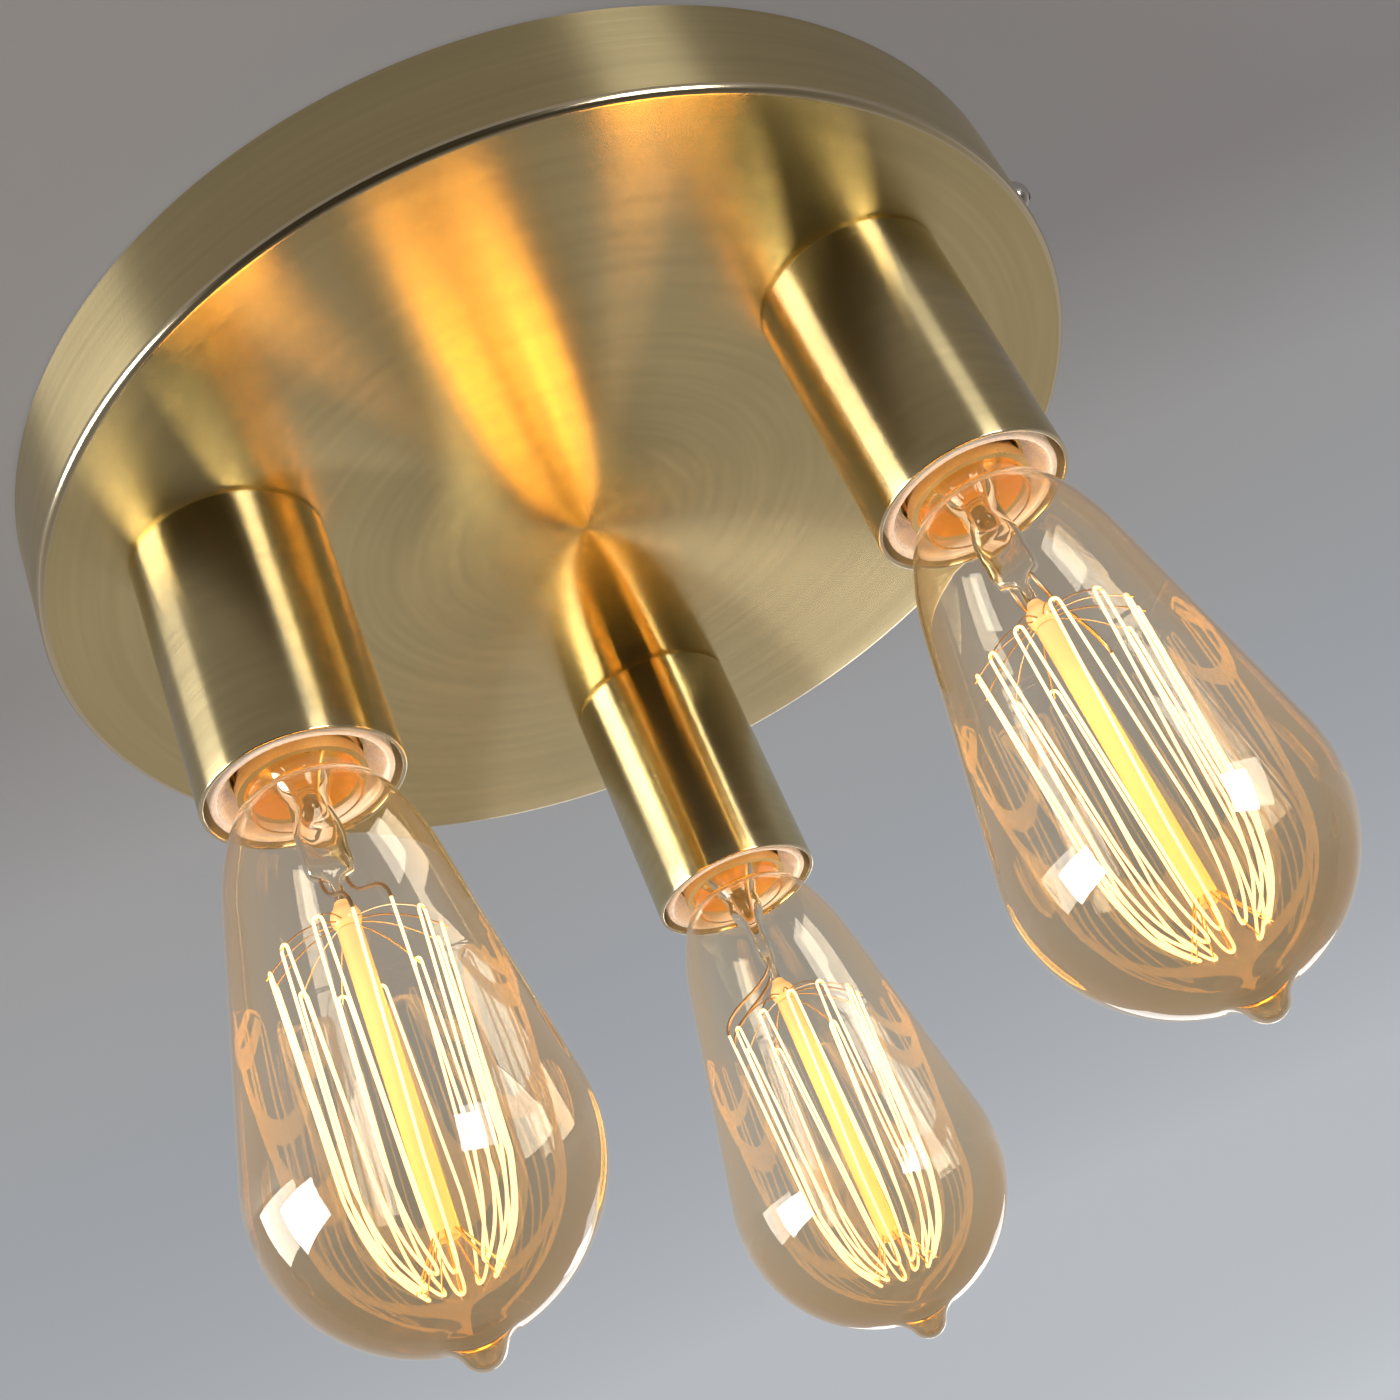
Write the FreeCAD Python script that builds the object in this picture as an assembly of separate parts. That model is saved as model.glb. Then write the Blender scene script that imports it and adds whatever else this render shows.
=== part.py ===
import FreeCAD, Part
import math
import os
from FreeCAD import Placement, Rotation, Vector

# Semi flush ceiling light with three screw-in filament lamps.  Sizes are in millimetres.
# The origin is the centre of the ceiling plane, +Z points up into the ceiling and the fixing strap
# lies along X.
# Each lamp is built round its own axis with z = 0 at the mouth of its cup and the bulb below,
# then it is carried to its place on the pitch circle.

# ---- Ceiling pan ----
pan_diameter = 244.0
pan_height = 25.0
pan_wall = 1.0
pan_edge_radius = 1.6

# ---- Lamp positions ----
cup_to_pan_rim = 18.3
lamp_azimuths = {"right": -13.5, "rear": 106.5, "left": 226.5}

# ---- Lamp cup ----
cup_diameter = 41.4
cup_length = 61.5
cup_wall = 0.9
cup_base_thickness = 1.5
cup_top_chamfer = 0.4
cup_lip_radius = 0.25

# ---- Threaded tube that carries each cup, its nuts and washers ----
nipple_radius = 4.9
nipple_bore_radius = 3.9
nipple_top_above_pan_face = 7.0
nipple_hole_clearance = 0.3
thread_fit_clearance = 0.05
nut_across_flats = 14.0
nut_thickness = 3.0
nut_chamfer = 0.8
washer_radius = 9.0
washer_thickness = 1.0

# ---- Lampholder ----
holder_radius = 18.5
hub_to_nut_gap = 3.5
holder_recess = 0.5
holder_rim_thickness = 1.5
holder_rim_depth = 1.5
holder_funnel_depth = 5.5
holder_floor_depth = 29.0
holder_floor_thickness = 3.0
holder_cavity_radius = 12.5
holder_lip_radius = 0.5
hub_thickness = 1.5
hub_boss_radius = 8.0
hub_boss_length = 6.0
hub_disc_radius = 16.0

# ---- Screw shell of the lampholder and cap of the lamp (27 mm screw, 7 threads to 25.4 mm) ----
screw_pitch = 3.62
cap_crest_radius = 13.1
cap_root_radius = 12.15
cap_wall = 0.4
cap_ridge_half_width = 1.1
cap_thread_turns = 3.75
cap_thread_start_depth = 5.4
cap_rim_depth = 1.0
cap_skirt_length = 2.4
cap_skirt_taper = 0.8
cap_barrel_depth = 21.0
cap_shoulder_radius = 9.0
cap_shoulder_drop = 1.6
thread_radial_clearance = 0.3
shell_wall = 0.4
shell_ridge_half_width = 0.9
shell_thread_turns = 3.5
shell_bore_clearance = 0.15
shell_start_gap = 0.5
shell_base_hole_radius = 7.6

# ---- Contacts ----
contact_width = 6.0
contact_thickness = 0.5
contact_rivet_offset = 4.5
contact_reach = 2.4
contact_lift = 1.0
contact_pad_outer = 2.3
contact_pad_inner = 1.2
contact_to_shell_gap = 0.3
shell_rivet_offset = 9.6
rivet_radius = 1.5
rivet_head_radius = 2.2
rivet_head_height = 0.6
rivet_hole_clearance = 0.1
tip_contact_radius = 4.6
tip_contact_height = 1.2
tip_seat_gap = 0.3
tip_contact_rim = 1.2
insulator_step = 0.8
insulator_fit_gap = 0.05
insulator_margin = 0.4

# ---- Bulb glass ----
bulb_radius = 32.0
bulb_centre_below_mouth = 81.5
bulb_side_angle = 10.6
glass_wall = 0.7
neck_radius = 11.45
neck_end_depth = 8.0
side_end_below_mouth = 22.0
upper_side_radius = 60.0
upper_side_turn = 16.0
shoulder_radius = 8.0
tip_ball_radius = 4.2
tip_length = 5.0
tip_blend_radius = 6.0

# ---- Glass stem inside the bulb ----
stem_to_neck_gap = 0.3
stem_flare_depth = 7.0
stem_flare_length = 10.0
stem_flare_curve_radius = 6.2
stem_flare_curve_drop = 4.0
stem_tube_radius = 4.2
stem_wall = 0.9
pinch_top_below_mouth = 8.0
pinch_length = 13.0
pinch_width = 10.0
pinch_thickness = 4.6
pinch_edge_radius = 1.8
pinch_overlap = 2.0
stem_neck_radius = 1.3
stem_bead_radius = 3.0
stem_bead_below_mouth = 30.0
rod_radius = 2.4
rod_end_below_mouth = 95.0
rod_bore_radius = 1.5
rod_bore_depth = 4.0

# ---- Filament ----
filament_radius = 0.25
filament_loops = 12
filament_spacings_round = 12.6
cage_top_below_mouth = 37.0
cage_top_radius = 16.5
cage_belly_below_mouth = 84.0
cage_belly_radius = 15.0
cage_turn_below_mouth = 96.0
cage_turn_radius = 12.2
cage_tip_below_mouth = 102.5
cage_tip_radius = 7.0
loop_top_half_width = 0.9
loop_belly_half_width = 1.5
loop_turn_half_width = 1.3
loop_tip_half_width = 0.85
filament_bend = 14.0
loop_angle_unevenness = 1.6
top_height_unevenness = 0.9
tip_height_unevenness = 1.3
support_radius = 0.15
support_overhang = 1.0
support_gap = 0.2
support_root_rise = 1.0
support_root_gap = 0.02
support_bead_drop = 1.0
support_elbow_radius = 10.2
support_elbow_drop = 1.6
support_bend = 6.0
lead_in_radius = 0.4
lead_in_spread = 2.6
lead_in_straight = 4.0
lead_in_bend = 3.0

# ---- Fixing strap above the pan ----
strap_width = 25.0
strap_thickness = 1.5
strap_tab_width = 14.0
strap_tab_drop = 18.0
strap_bend_radius = 2.5
strap_to_wall_clearance = 0.6
cable_hole_radius = 8.0
slot_centre_offset = 78.0
slot_length = 20.0
slot_radius = 2.6
side_screw_depth = 13.0
side_screw_radius = 1.95
side_screw_length = 8.0
side_screw_head_radius = 3.6
side_screw_head_height = 2.4
side_screw_slot_width = 0.9
side_screw_slot_depth = 1.0
side_hole_clearance = 0.25

# ---- Terminal block, earth screw and leads ----
block_start = 12.0
block_length = 42.0
block_width = 18.0
block_height = 12.0
block_edge_radius = 1.0
earth_pole = 19.0
live_pole = 31.0
neutral_pole = 45.0
pole_half_spacing = 2.2
live_height = 6.0
neutral_height = 9.8
terminal_screw_radius = 1.6
terminal_screw_length = 2.5
terminal_screw_row = 5.0
terminal_screw_slot_width = 0.5
terminal_screw_slot_depth = 0.6
terminal_socket_depth = 6.0
terminal_socket_clearance = 0.3
lead_radius = 0.9
lead_offset = 1.3
lead_run_out = 13.0
lead_bend = 8.0
earth_screw_offset = -22.0
earth_screw_radius = 1.95
earth_screw_head_radius = 3.8
earth_screw_head_height = 2.2
earth_tag_radius = 4.2
earth_tag_thickness = 0.8
earth_barrel_radius = 1.6
earth_barrel_length = 6.0
earth_neck_overlap = 0.5
earth_lead_height = 3.7
earth_socket_height = 4.7
rivet_run = 5.5
earth_lead_run_out = 9.0
earth_lead_swing = 14.0
earth_lead_side = 16.5
earth_lead_turn = 9.0
earth_lead_run_in = 8.0

# ---- Places worked out from the sizes above ----
pan_radius = pan_diameter / 2
cup_radius = cup_diameter / 2
lamp_circle_radius = pan_radius - cup_to_pan_rim - cup_radius
pan_face_z = -pan_height
pan_inner_face_z = pan_face_z + pan_wall
mouth_z = pan_face_z - cup_length
cup_base_z = cup_length
nipple_hole_radius = nipple_radius + nipple_hole_clearance
nipple_thread_radius = nipple_radius + thread_fit_clearance
nipple_top_z = cup_length + pan_wall + nipple_top_above_pan_face
holder_front_z = holder_recess
nut_in_cup_z = cup_base_z - cup_base_thickness - nut_thickness
hub_back_z = nut_in_cup_z - hub_to_nut_gap
holder_back_z = hub_back_z - hub_boss_length - hub_thickness
shell_root_radius = cap_crest_radius + thread_radial_clearance
shell_crest_radius = cap_root_radius + thread_radial_clearance
shell_radius = shell_root_radius + shell_wall
holder_bore_radius = shell_radius + shell_bore_clearance
holder_cavity_z = holder_floor_depth + holder_floor_thickness
contact_face_z = holder_floor_depth - contact_thickness - contact_lift
tip_end_z = contact_face_z - tip_seat_gap
cap_bore_radius = cap_root_radius - cap_wall
stem_flare_radius = neck_radius - glass_wall - stem_to_neck_gap
strap_half_length = pan_radius - pan_wall - strap_to_wall_clearance

cut_margin = 1.0
DIAGONAL = math.sqrt(0.5)
AXIS_UP = Vector(0, 0, 1)
ORIGIN = Vector(0, 0, 0)


# ---- Shape helpers ----

def flat_outline(start, *moves):
    """Face in the XZ plane.  A move is a point, or a pair of points for an arc through the first."""
    edges = []
    here = Vector(start[0], 0, start[1])
    for move in moves + (start,):
        if isinstance(move[0], tuple):
            middle = Vector(move[0][0], 0, move[0][1])
            there = Vector(move[1][0], 0, move[1][1])
            edges.append(Part.Arc(here, middle, there).toShape())
        else:
            there = Vector(move[0], 0, move[1])
            if there.distanceToPoint(here) < 1e-6:
                continue
            edges.append(Part.LineSegment(here, there).toShape())
        here = there
    return Part.Face(Part.Wire(edges))


def turned(start, *moves):
    """Solid of revolution about Z from an outline in the XZ plane."""
    return flat_outline(start, *moves).revolve(ORIGIN, AXIS_UP, 360)


def ring(outer, inner, low, high):
    """Plain ring about Z."""
    return turned((inner, low), (outer, low), (outer, high), (inner, high))


def cylinder(radius, low, high, x=0.0, y=0.0):
    """Upright cylinder between two heights."""
    return Part.makeCylinder(radius, high - low, Vector(x, y, low), AXIS_UP)


def hexagon_nut(across_flats, bore, low, high):
    """Hexagonal nut about Z with chamfered corners."""
    corner = across_flats / math.sqrt(3)
    points = [Vector(corner * math.cos(math.radians(60 * i)), corner * math.sin(math.radians(60 * i)), low)
              for i in range(7)]
    body = Part.Face(Part.makePolygon(points)).extrude(Vector(0, 0, high - low))
    rounded = turned((0, low), (corner - nut_chamfer, low), (corner, low + nut_chamfer / 2),
                     (corner, high - nut_chamfer / 2), (corner - nut_chamfer, high), (0, high))
    return body.common(rounded).cut(cylinder(bore, low - cut_margin, high + cut_margin))


def rounded_path(points, largest_bend):
    """Straight runs joined by tangent arcs, and the list of the arcs' radii."""
    edges = []
    radii = []
    here = points[0]
    for before, corner, after in zip(points, points[1:], points[2:]):
        back = before - corner
        ahead = after - corner
        half_turn = (math.pi - back.getAngle(ahead)) / 2
        setback = min(0.45 * min(back.Length, ahead.Length), largest_bend * math.tan(half_turn))
        bend = setback / math.tan(half_turn)
        back.normalize()
        ahead.normalize()
        inward = (back + ahead).normalize()
        enter = corner + back * setback
        leave = corner + ahead * setback
        middle = corner + inward * (bend / math.cos(half_turn) - bend)
        edges.append(Part.LineSegment(here, enter).toShape())
        edges.append(Part.Arc(enter, middle, leave).toShape())
        radii.append(bend)
        here = leave
    edges.append(Part.LineSegment(here, points[-1]).toShape())
    return Part.Wire(edges), radii


def round_wire(points, radius, largest_bend):
    """Round wire or lead along rounded_path."""
    path, radii = rounded_path(points, largest_bend)
    section = Part.Wire(Part.makeCircle(radius, points[0], points[1] - points[0]))
    solid = path.makePipeShell([section], True, False)
    solid = Part.Solid(solid) if solid.ShapeType != "Solid" else solid
    return solid, path, radii


def thread_ridge(base_radius, peak_radius, half_width, turns):
    """Rounded right-hand thread ridge that starts at z = 0 on the +X side."""
    spine = Part.makeHelix(screw_pitch, screw_pitch * turns, base_radius)
    foot = Vector(base_radius, 0, -half_width)
    head = Vector(base_radius, 0, half_width)
    crest = Part.Arc(foot, Vector(peak_radius, 0, 0), head).toShape()
    section = Part.Wire([crest, Part.LineSegment(head, foot).toShape()])
    return Part.Solid(Part.Wire(spine).makePipeShell([section], True, True))


def placed(shape, lamp):
    """Carries a shape from a lamp's own frame to its place under the pan."""
    azimuth = math.radians(lamp_azimuths[lamp])
    spot = Vector(lamp_circle_radius * math.cos(azimuth), lamp_circle_radius * math.sin(azimuth), mouth_z)
    moved = shape.copy()
    moved.Placement = Placement(spot, Rotation(AXIS_UP, lamp_azimuths[lamp])).multiply(moved.Placement)
    return moved


def lamp_point(lamp, x, z):
    """Point of a lamp's own XZ plane in the frame of the whole light."""
    azimuth = math.radians(lamp_azimuths[lamp])
    reach = lamp_circle_radius + x
    return Vector(reach * math.cos(azimuth), reach * math.sin(azimuth), mouth_z + z)


def save(name, shape):
    """Writes one sub-part, with its validity and volume on the console."""
    print(name, "valid" if shape.isValid() else "NOT VALID", len(shape.Solids), round(shape.Volume, 1))
    shape.exportStep(os.path.join("parts", name + ".step"))


# ---- Pan and strap ----

def ceiling_plate():
    """Shallow round pan, open towards the ceiling, with a rounded front edge."""
    edge = pan_edge_radius
    inner = edge - pan_wall
    side = pan_radius - pan_wall
    shape = turned(
        (0, pan_face_z),
        (pan_radius - edge, pan_face_z),
        ((pan_radius - edge + edge * DIAGONAL, pan_face_z + edge - edge * DIAGONAL),
         (pan_radius, pan_face_z + edge)),
        (pan_radius, 0),
        (side, 0),
        (side, pan_inner_face_z + inner),
        ((side - inner + inner * DIAGONAL, pan_inner_face_z + inner - inner * DIAGONAL),
         (side - inner, pan_inner_face_z)),
        (0, pan_inner_face_z))
    for lamp in lamp_azimuths:
        centre = lamp_point(lamp, 0, 0)
        shape = shape.cut(cylinder(nipple_hole_radius, pan_face_z - cut_margin,
                                   pan_inner_face_z + cut_margin, centre.x, centre.y))
    reach = pan_radius + cut_margin
    side_hole = Part.makeCylinder(side_screw_radius + side_hole_clearance, 2 * reach,
                                  Vector(-reach, 0, -side_screw_depth), Vector(1, 0, 0))
    return shape.cut(side_hole)


def mounting_strap():
    """Steel strap on the ceiling with a bent tab at each end for the side screws."""
    outer = strap_bend_radius
    inner = strap_bend_radius - strap_thickness
    end = strap_half_length
    half = flat_outline(
        (0, 0),
        (end - outer, 0),
        ((end - outer + outer * DIAGONAL, outer * DIAGONAL - outer), (end, -outer)),
        (end, -strap_tab_drop),
        (end - strap_thickness, -strap_tab_drop),
        (end - strap_thickness, -outer),
        ((end - outer + inner * DIAGONAL, inner * DIAGONAL - outer), (end - outer, -strap_thickness)),
        (0, -strap_thickness))
    half = half.extrude(Vector(0, strap_width, 0))
    half.translate(Vector(0, -strap_width / 2, 0))
    trim_depth = (strap_width - strap_tab_width) / 2
    for side in (-1, 1):
        trim = Part.makeBox(outer + cut_margin, trim_depth, strap_tab_drop + cut_margin,
                            Vector(end - outer, side * (strap_width - trim_depth) / 2 - trim_depth / 2,
                                   -strap_tab_drop - cut_margin))
        half = half.cut(trim)
    other = half.copy()
    other.rotate(ORIGIN, AXIS_UP, 180)
    strap = half.fuse(other).removeSplitter()
    strap = strap.cut(cylinder(cable_hole_radius, -strap_thickness - cut_margin, cut_margin))
    earth_hole = earth_screw_radius + thread_fit_clearance
    strap = strap.cut(cylinder(earth_hole, -strap_thickness - cut_margin, cut_margin, earth_screw_offset))
    for side in (-1, 1):
        strap = strap.cut(slot_cut(side * slot_centre_offset))
    reach = strap_half_length + cut_margin
    tapped = Part.makeCylinder(side_screw_radius + thread_fit_clearance, 2 * reach,
                               Vector(-reach, 0, -side_screw_depth), Vector(1, 0, 0))
    return strap.cut(tapped)


def slot_cut(centre):
    """Long hole along the strap for a ceiling screw."""
    half = slot_length / 2 - slot_radius
    box = Part.makeBox(2 * half, 2 * slot_radius, strap_thickness + 2 * cut_margin,
                       Vector(centre - half, -slot_radius, -strap_thickness - cut_margin))
    for end in (-half, half):
        box = box.fuse(cylinder(slot_radius, -strap_thickness - cut_margin, cut_margin, centre + end))
    return box


def round_head_screw(head_radius, head_height, shank_radius, length, slot_width, slot_depth):
    """Slotted round-head screw with its head above z = 0 and its shank below."""
    dome = (head_radius ** 2 + head_height ** 2) / (2 * head_height)
    sweep = math.asin(head_radius / dome) / 2
    middle = (dome * math.sin(sweep), head_height - dome + dome * math.cos(sweep))
    screw = turned((0, -length), (shank_radius, -length), (shank_radius, 0), (head_radius, 0),
                   (middle, (0, head_height)))
    slot = Part.makeBox(2 * head_radius, slot_width, slot_depth + cut_margin,
                        Vector(-head_radius, -slot_width / 2, head_height - slot_depth))
    return screw.cut(slot)


def side_screws():
    """Two screws that hold the pan's side wall to the strap's tabs."""
    screws = []
    for turn in (0, 180):
        screw = round_head_screw(side_screw_head_radius, side_screw_head_height, side_screw_radius,
                                 side_screw_length, side_screw_slot_width, side_screw_slot_depth)
        screw.rotate(ORIGIN, Vector(0, 1, 0), 90)
        screw.translate(Vector(pan_radius + thread_fit_clearance, 0, -side_screw_depth))
        screw.rotate(ORIGIN, AXIS_UP, turn)
        screws.append(screw)
    return Part.makeCompound(screws)


def earth_screw():
    """Screw in the strap for the earth tag."""
    head_top = strap_thickness + earth_tag_thickness
    screw = round_head_screw(earth_screw_head_radius, earth_screw_head_height, earth_screw_radius,
                             head_top - thread_fit_clearance, side_screw_slot_width, side_screw_slot_depth)
    screw.rotate(ORIGIN, Vector(1, 0, 0), 180)
    screw.translate(Vector(earth_screw_offset, 0, -head_top))
    return screw


def earth_tag():
    """Ring tag under the earth screw, with the barrel that holds the earth lead."""
    low = -strap_thickness - earth_tag_thickness
    tag = cylinder(earth_tag_radius, low, -strap_thickness)
    barrel_start = earth_tag_radius + earth_neck_overlap
    neck = Part.makeBox(2 * earth_barrel_radius, barrel_start + earth_neck_overlap, earth_tag_thickness,
                        Vector(-earth_barrel_radius, 0, low))
    barrel = Part.makeCylinder(earth_barrel_radius, earth_barrel_length,
                               Vector(0, barrel_start, -earth_lead_height), Vector(0, 1, 0))
    tag = tag.fuse(neck).cut(cylinder(earth_screw_radius + thread_fit_clearance, low - cut_margin, 0))
    tag = tag.fuse(barrel).removeSplitter()
    tag.translate(Vector(earth_screw_offset, 0, 0))
    return tag


# ---- Terminal block and leads ----

def terminal_sockets():
    """Centre lines of the wire sockets: (along, side, height) from the strap's frame."""
    sockets = []
    for pole, height in ((live_pole, live_height), (neutral_pole, neutral_height)):
        for step in (-pole_half_spacing, pole_half_spacing):
            sockets.append((pole + step, -1, height))
            sockets.append((pole + step, 1, height))
    sockets.append((earth_pole, 1, earth_socket_height))
    sockets.append((earth_pole, -1, earth_socket_height))
    return sockets


def terminal_screw_spots():
    """Places of the clamping screws in the block's underside."""
    spots = []
    for pole in (earth_pole, live_pole, neutral_pole):
        for side in (-1, 1):
            spots.append((pole, side * terminal_screw_row))
    return spots


def terminal_block():
    """Insulating block with three poles, screwed flat under the strap."""
    low = -strap_thickness - block_height
    block = Part.makeBox(block_length, block_width, block_height, Vector(block_start, -block_width / 2, low))
    upright = [edge for edge in block.Edges if abs(edge.tangentAt(edge.FirstParameter).z) > 0.9]
    block = block.makeFillet(block_edge_radius, upright)
    socket_radius = lead_radius + terminal_socket_clearance
    for along, side, height in terminal_sockets():
        mouth = Vector(along, side * (block_width / 2 + cut_margin), -height)
        block = block.cut(Part.makeCylinder(socket_radius, terminal_socket_depth + cut_margin, mouth,
                                            Vector(0, -side, 0)))
    for along, across in terminal_screw_spots():
        block = block.cut(cylinder(terminal_screw_radius + thread_fit_clearance, low - cut_margin,
                                   low + terminal_screw_length, along, across))
    return block


def terminal_screws():
    """Clamping screws of the terminal block."""
    low = -strap_thickness - block_height
    screws = []
    for along, across in terminal_screw_spots():
        screw = cylinder(terminal_screw_radius, low, low + terminal_screw_length, along, across)
        corner = Vector(along - terminal_screw_radius, across - terminal_screw_slot_width / 2, low)
        slot = Part.makeBox(2 * terminal_screw_radius, terminal_screw_slot_width, terminal_screw_slot_depth,
                            corner)
        screws.append(screw.cut(slot))
    return Part.makeCompound(screws)


def lead_route(lamp, kind):
    """Points of one lead from its socket in the block to its rivet in the lampholder."""
    pole, height, offset, rivet = {
        "live": (live_pole, live_height, lead_offset, contact_rivet_offset),
        "neutral": (neutral_pole, neutral_height, -lead_offset, -shell_rivet_offset)}[kind]
    side = 1 if lamp == "rear" else -1
    step = pole_half_spacing if lamp == "right" else -pole_half_spacing
    socket_end = side * (block_width / 2 - terminal_socket_depth)
    run_out = side * (block_width / 2 + lead_run_out)
    rivet_face = holder_cavity_z + rivet_head_height
    high = -height - mouth_z
    return [
        Vector(pole + step, socket_end, -height),
        Vector(pole + step, run_out, -height),
        lamp_point(lamp, offset, high),
        lamp_point(lamp, offset, holder_back_z),
        lamp_point(lamp, rivet, rivet_face + rivet_run),
        lamp_point(lamp, rivet, rivet_face)]


def lead(lamp, kind):
    """Insulated lead from the terminal block through the threaded tube to the lampholder."""
    solid, path, radii = round_wire(lead_route(lamp, kind), lead_radius, lead_bend)
    print("lead", lamp, kind, "length", round(path.Length, 1), "bends", [round(r, 1) for r in radii],
          "volume ratio", round(solid.Volume / (math.pi * lead_radius ** 2 * path.Length), 4))
    return solid


def earth_lead():
    """Earth lead from the block to the tag on the strap."""
    edge = block_width / 2
    barrel_end = earth_tag_radius + earth_neck_overlap + earth_barrel_length
    points = [
        Vector(earth_pole, edge - terminal_socket_depth, -earth_socket_height),
        Vector(earth_pole, edge + earth_lead_run_out, -earth_socket_height),
        Vector(earth_pole - earth_lead_swing, edge + earth_lead_side, -earth_lead_height),
        Vector(earth_screw_offset + earth_lead_turn, edge + earth_lead_side, -earth_lead_height),
        Vector(earth_screw_offset, barrel_end + earth_lead_run_in, -earth_lead_height),
        Vector(earth_screw_offset, barrel_end, -earth_lead_height)]
    solid, path, radii = round_wire(points, lead_radius, lead_bend)
    print("earth lead length", round(path.Length, 1), "bends", [round(r, 1) for r in radii],
          "volume ratio", round(solid.Volume / (math.pi * lead_radius ** 2 * path.Length), 4))
    return solid


# ---- One lamp: cup, threaded tube and lampholder ----

def cup():
    """Brass cup, closed at the pan and open at the mouth."""
    lip = cup_lip_radius
    inner = cup_radius - cup_wall
    return turned(
        (nipple_hole_radius, cup_base_z),
        (nipple_hole_radius, cup_base_z - cup_base_thickness),
        (inner, cup_base_z - cup_base_thickness),
        (inner, lip),
        ((inner + lip * (1 - DIAGONAL), lip * (1 - DIAGONAL)), (inner + lip, 0)),
        (cup_radius - lip, 0),
        ((cup_radius - lip * (1 - DIAGONAL), lip * (1 - DIAGONAL)), (cup_radius, lip)),
        (cup_radius, cup_base_z - cup_top_chamfer),
        (cup_radius - cup_top_chamfer, cup_base_z))


def nipple():
    """Threaded tube from inside the pan through the cup's base to the lampholder."""
    return ring(nipple_radius, nipple_bore_radius, holder_back_z, nipple_top_z)


def nipple_nuts():
    """Nuts that clamp each cup to the pan, one above the pan face and one inside the cup."""
    nuts = []
    over_pan = cup_length + pan_wall + washer_thickness
    for lamp in lamp_azimuths:
        nuts.append(placed(hexagon_nut(nut_across_flats, nipple_thread_radius, over_pan,
                                       over_pan + nut_thickness), lamp))
        nuts.append(placed(hexagon_nut(nut_across_flats, nipple_thread_radius, nut_in_cup_z,
                                       nut_in_cup_z + nut_thickness), lamp))
    return Part.makeCompound(nuts)


def nipple_washers():
    """Plain washers on the pan face."""
    low = cup_length + pan_wall
    washer = ring(washer_radius, nipple_hole_radius, low, low + washer_thickness)
    return Part.makeCompound([placed(washer, lamp) for lamp in lamp_azimuths])


def holder_hub():
    """Steel disc and boss that join the lampholder to the threaded tube."""
    back = holder_back_z + hub_thickness
    return turned(
        (nipple_thread_radius, holder_back_z),
        (hub_disc_radius, holder_back_z),
        (hub_disc_radius, back),
        (hub_boss_radius, back),
        (hub_boss_radius, hub_back_z),
        (nipple_thread_radius, hub_back_z))


def lampholder():
    """Porcelain body: rim round the bulb's neck, bore for the screw shell, floor and wiring cavity."""
    lip = holder_lip_radius
    rim_inner = holder_radius - holder_rim_thickness
    corner = lip * (1 - DIAGONAL)
    body = turned(
        (holder_radius, holder_front_z + lip),
        (holder_radius, holder_back_z),
        (holder_cavity_radius, holder_back_z),
        (holder_cavity_radius, holder_cavity_z),
        (0, holder_cavity_z),
        (0, holder_floor_depth),
        (holder_bore_radius, holder_floor_depth),
        (holder_bore_radius, holder_funnel_depth),
        (rim_inner, holder_front_z + holder_rim_depth),
        (rim_inner, holder_front_z + lip),
        ((rim_inner + corner, holder_front_z + corner), (rim_inner + lip, holder_front_z)),
        (holder_radius - lip, holder_front_z),
        ((holder_radius - corner, holder_front_z + corner), (holder_radius, holder_front_z + lip)))
    hole = rivet_radius + rivet_hole_clearance
    for offset in (contact_rivet_offset, -shell_rivet_offset):
        body = body.cut(cylinder(hole, holder_floor_depth - cut_margin, holder_cavity_z + cut_margin, offset))
    return body


def screw_shell():
    """Threaded brass shell that takes the lamp's cap."""
    low = holder_funnel_depth + shell_start_gap
    shell = turned(
        (shell_root_radius, low),
        (shell_radius, low),
        (shell_radius, holder_floor_depth),
        (shell_base_hole_radius, holder_floor_depth),
        (shell_base_hole_radius, holder_floor_depth - shell_wall),
        (shell_root_radius, holder_floor_depth - shell_wall))
    ridge = thread_ridge(shell_root_radius + shell_wall / 2, shell_crest_radius, shell_ridge_half_width,
                         shell_thread_turns)
    ridge.translate(Vector(0, 0, cap_thread_start_depth + screw_pitch / 2))
    hole = cylinder(rivet_radius + rivet_hole_clearance, low, holder_floor_depth + cut_margin,
                    -shell_rivet_offset)
    return shell.fuse(ridge).cut(hole)


def shell_rivet():
    """Rivet from the screw shell's base through the floor to the neutral lead."""
    seat = holder_floor_depth - shell_wall
    return turned(
        (0, seat - rivet_head_height),
        (rivet_head_radius, seat - rivet_head_height),
        (rivet_head_radius, seat),
        (rivet_radius, seat),
        (rivet_radius, holder_cavity_z),
        (rivet_head_radius, holder_cavity_z),
        (rivet_head_radius, holder_cavity_z + rivet_head_height),
        (0, holder_cavity_z + rivet_head_height))


def shell_rivets():
    """One neutral rivet per lampholder."""
    rivets = []
    for lamp in lamp_azimuths:
        rivet = shell_rivet()
        rivet.translate(Vector(-shell_rivet_offset, 0, 0))
        rivets.append(placed(rivet, lamp))
    return Part.makeCompound(rivets)


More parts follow.
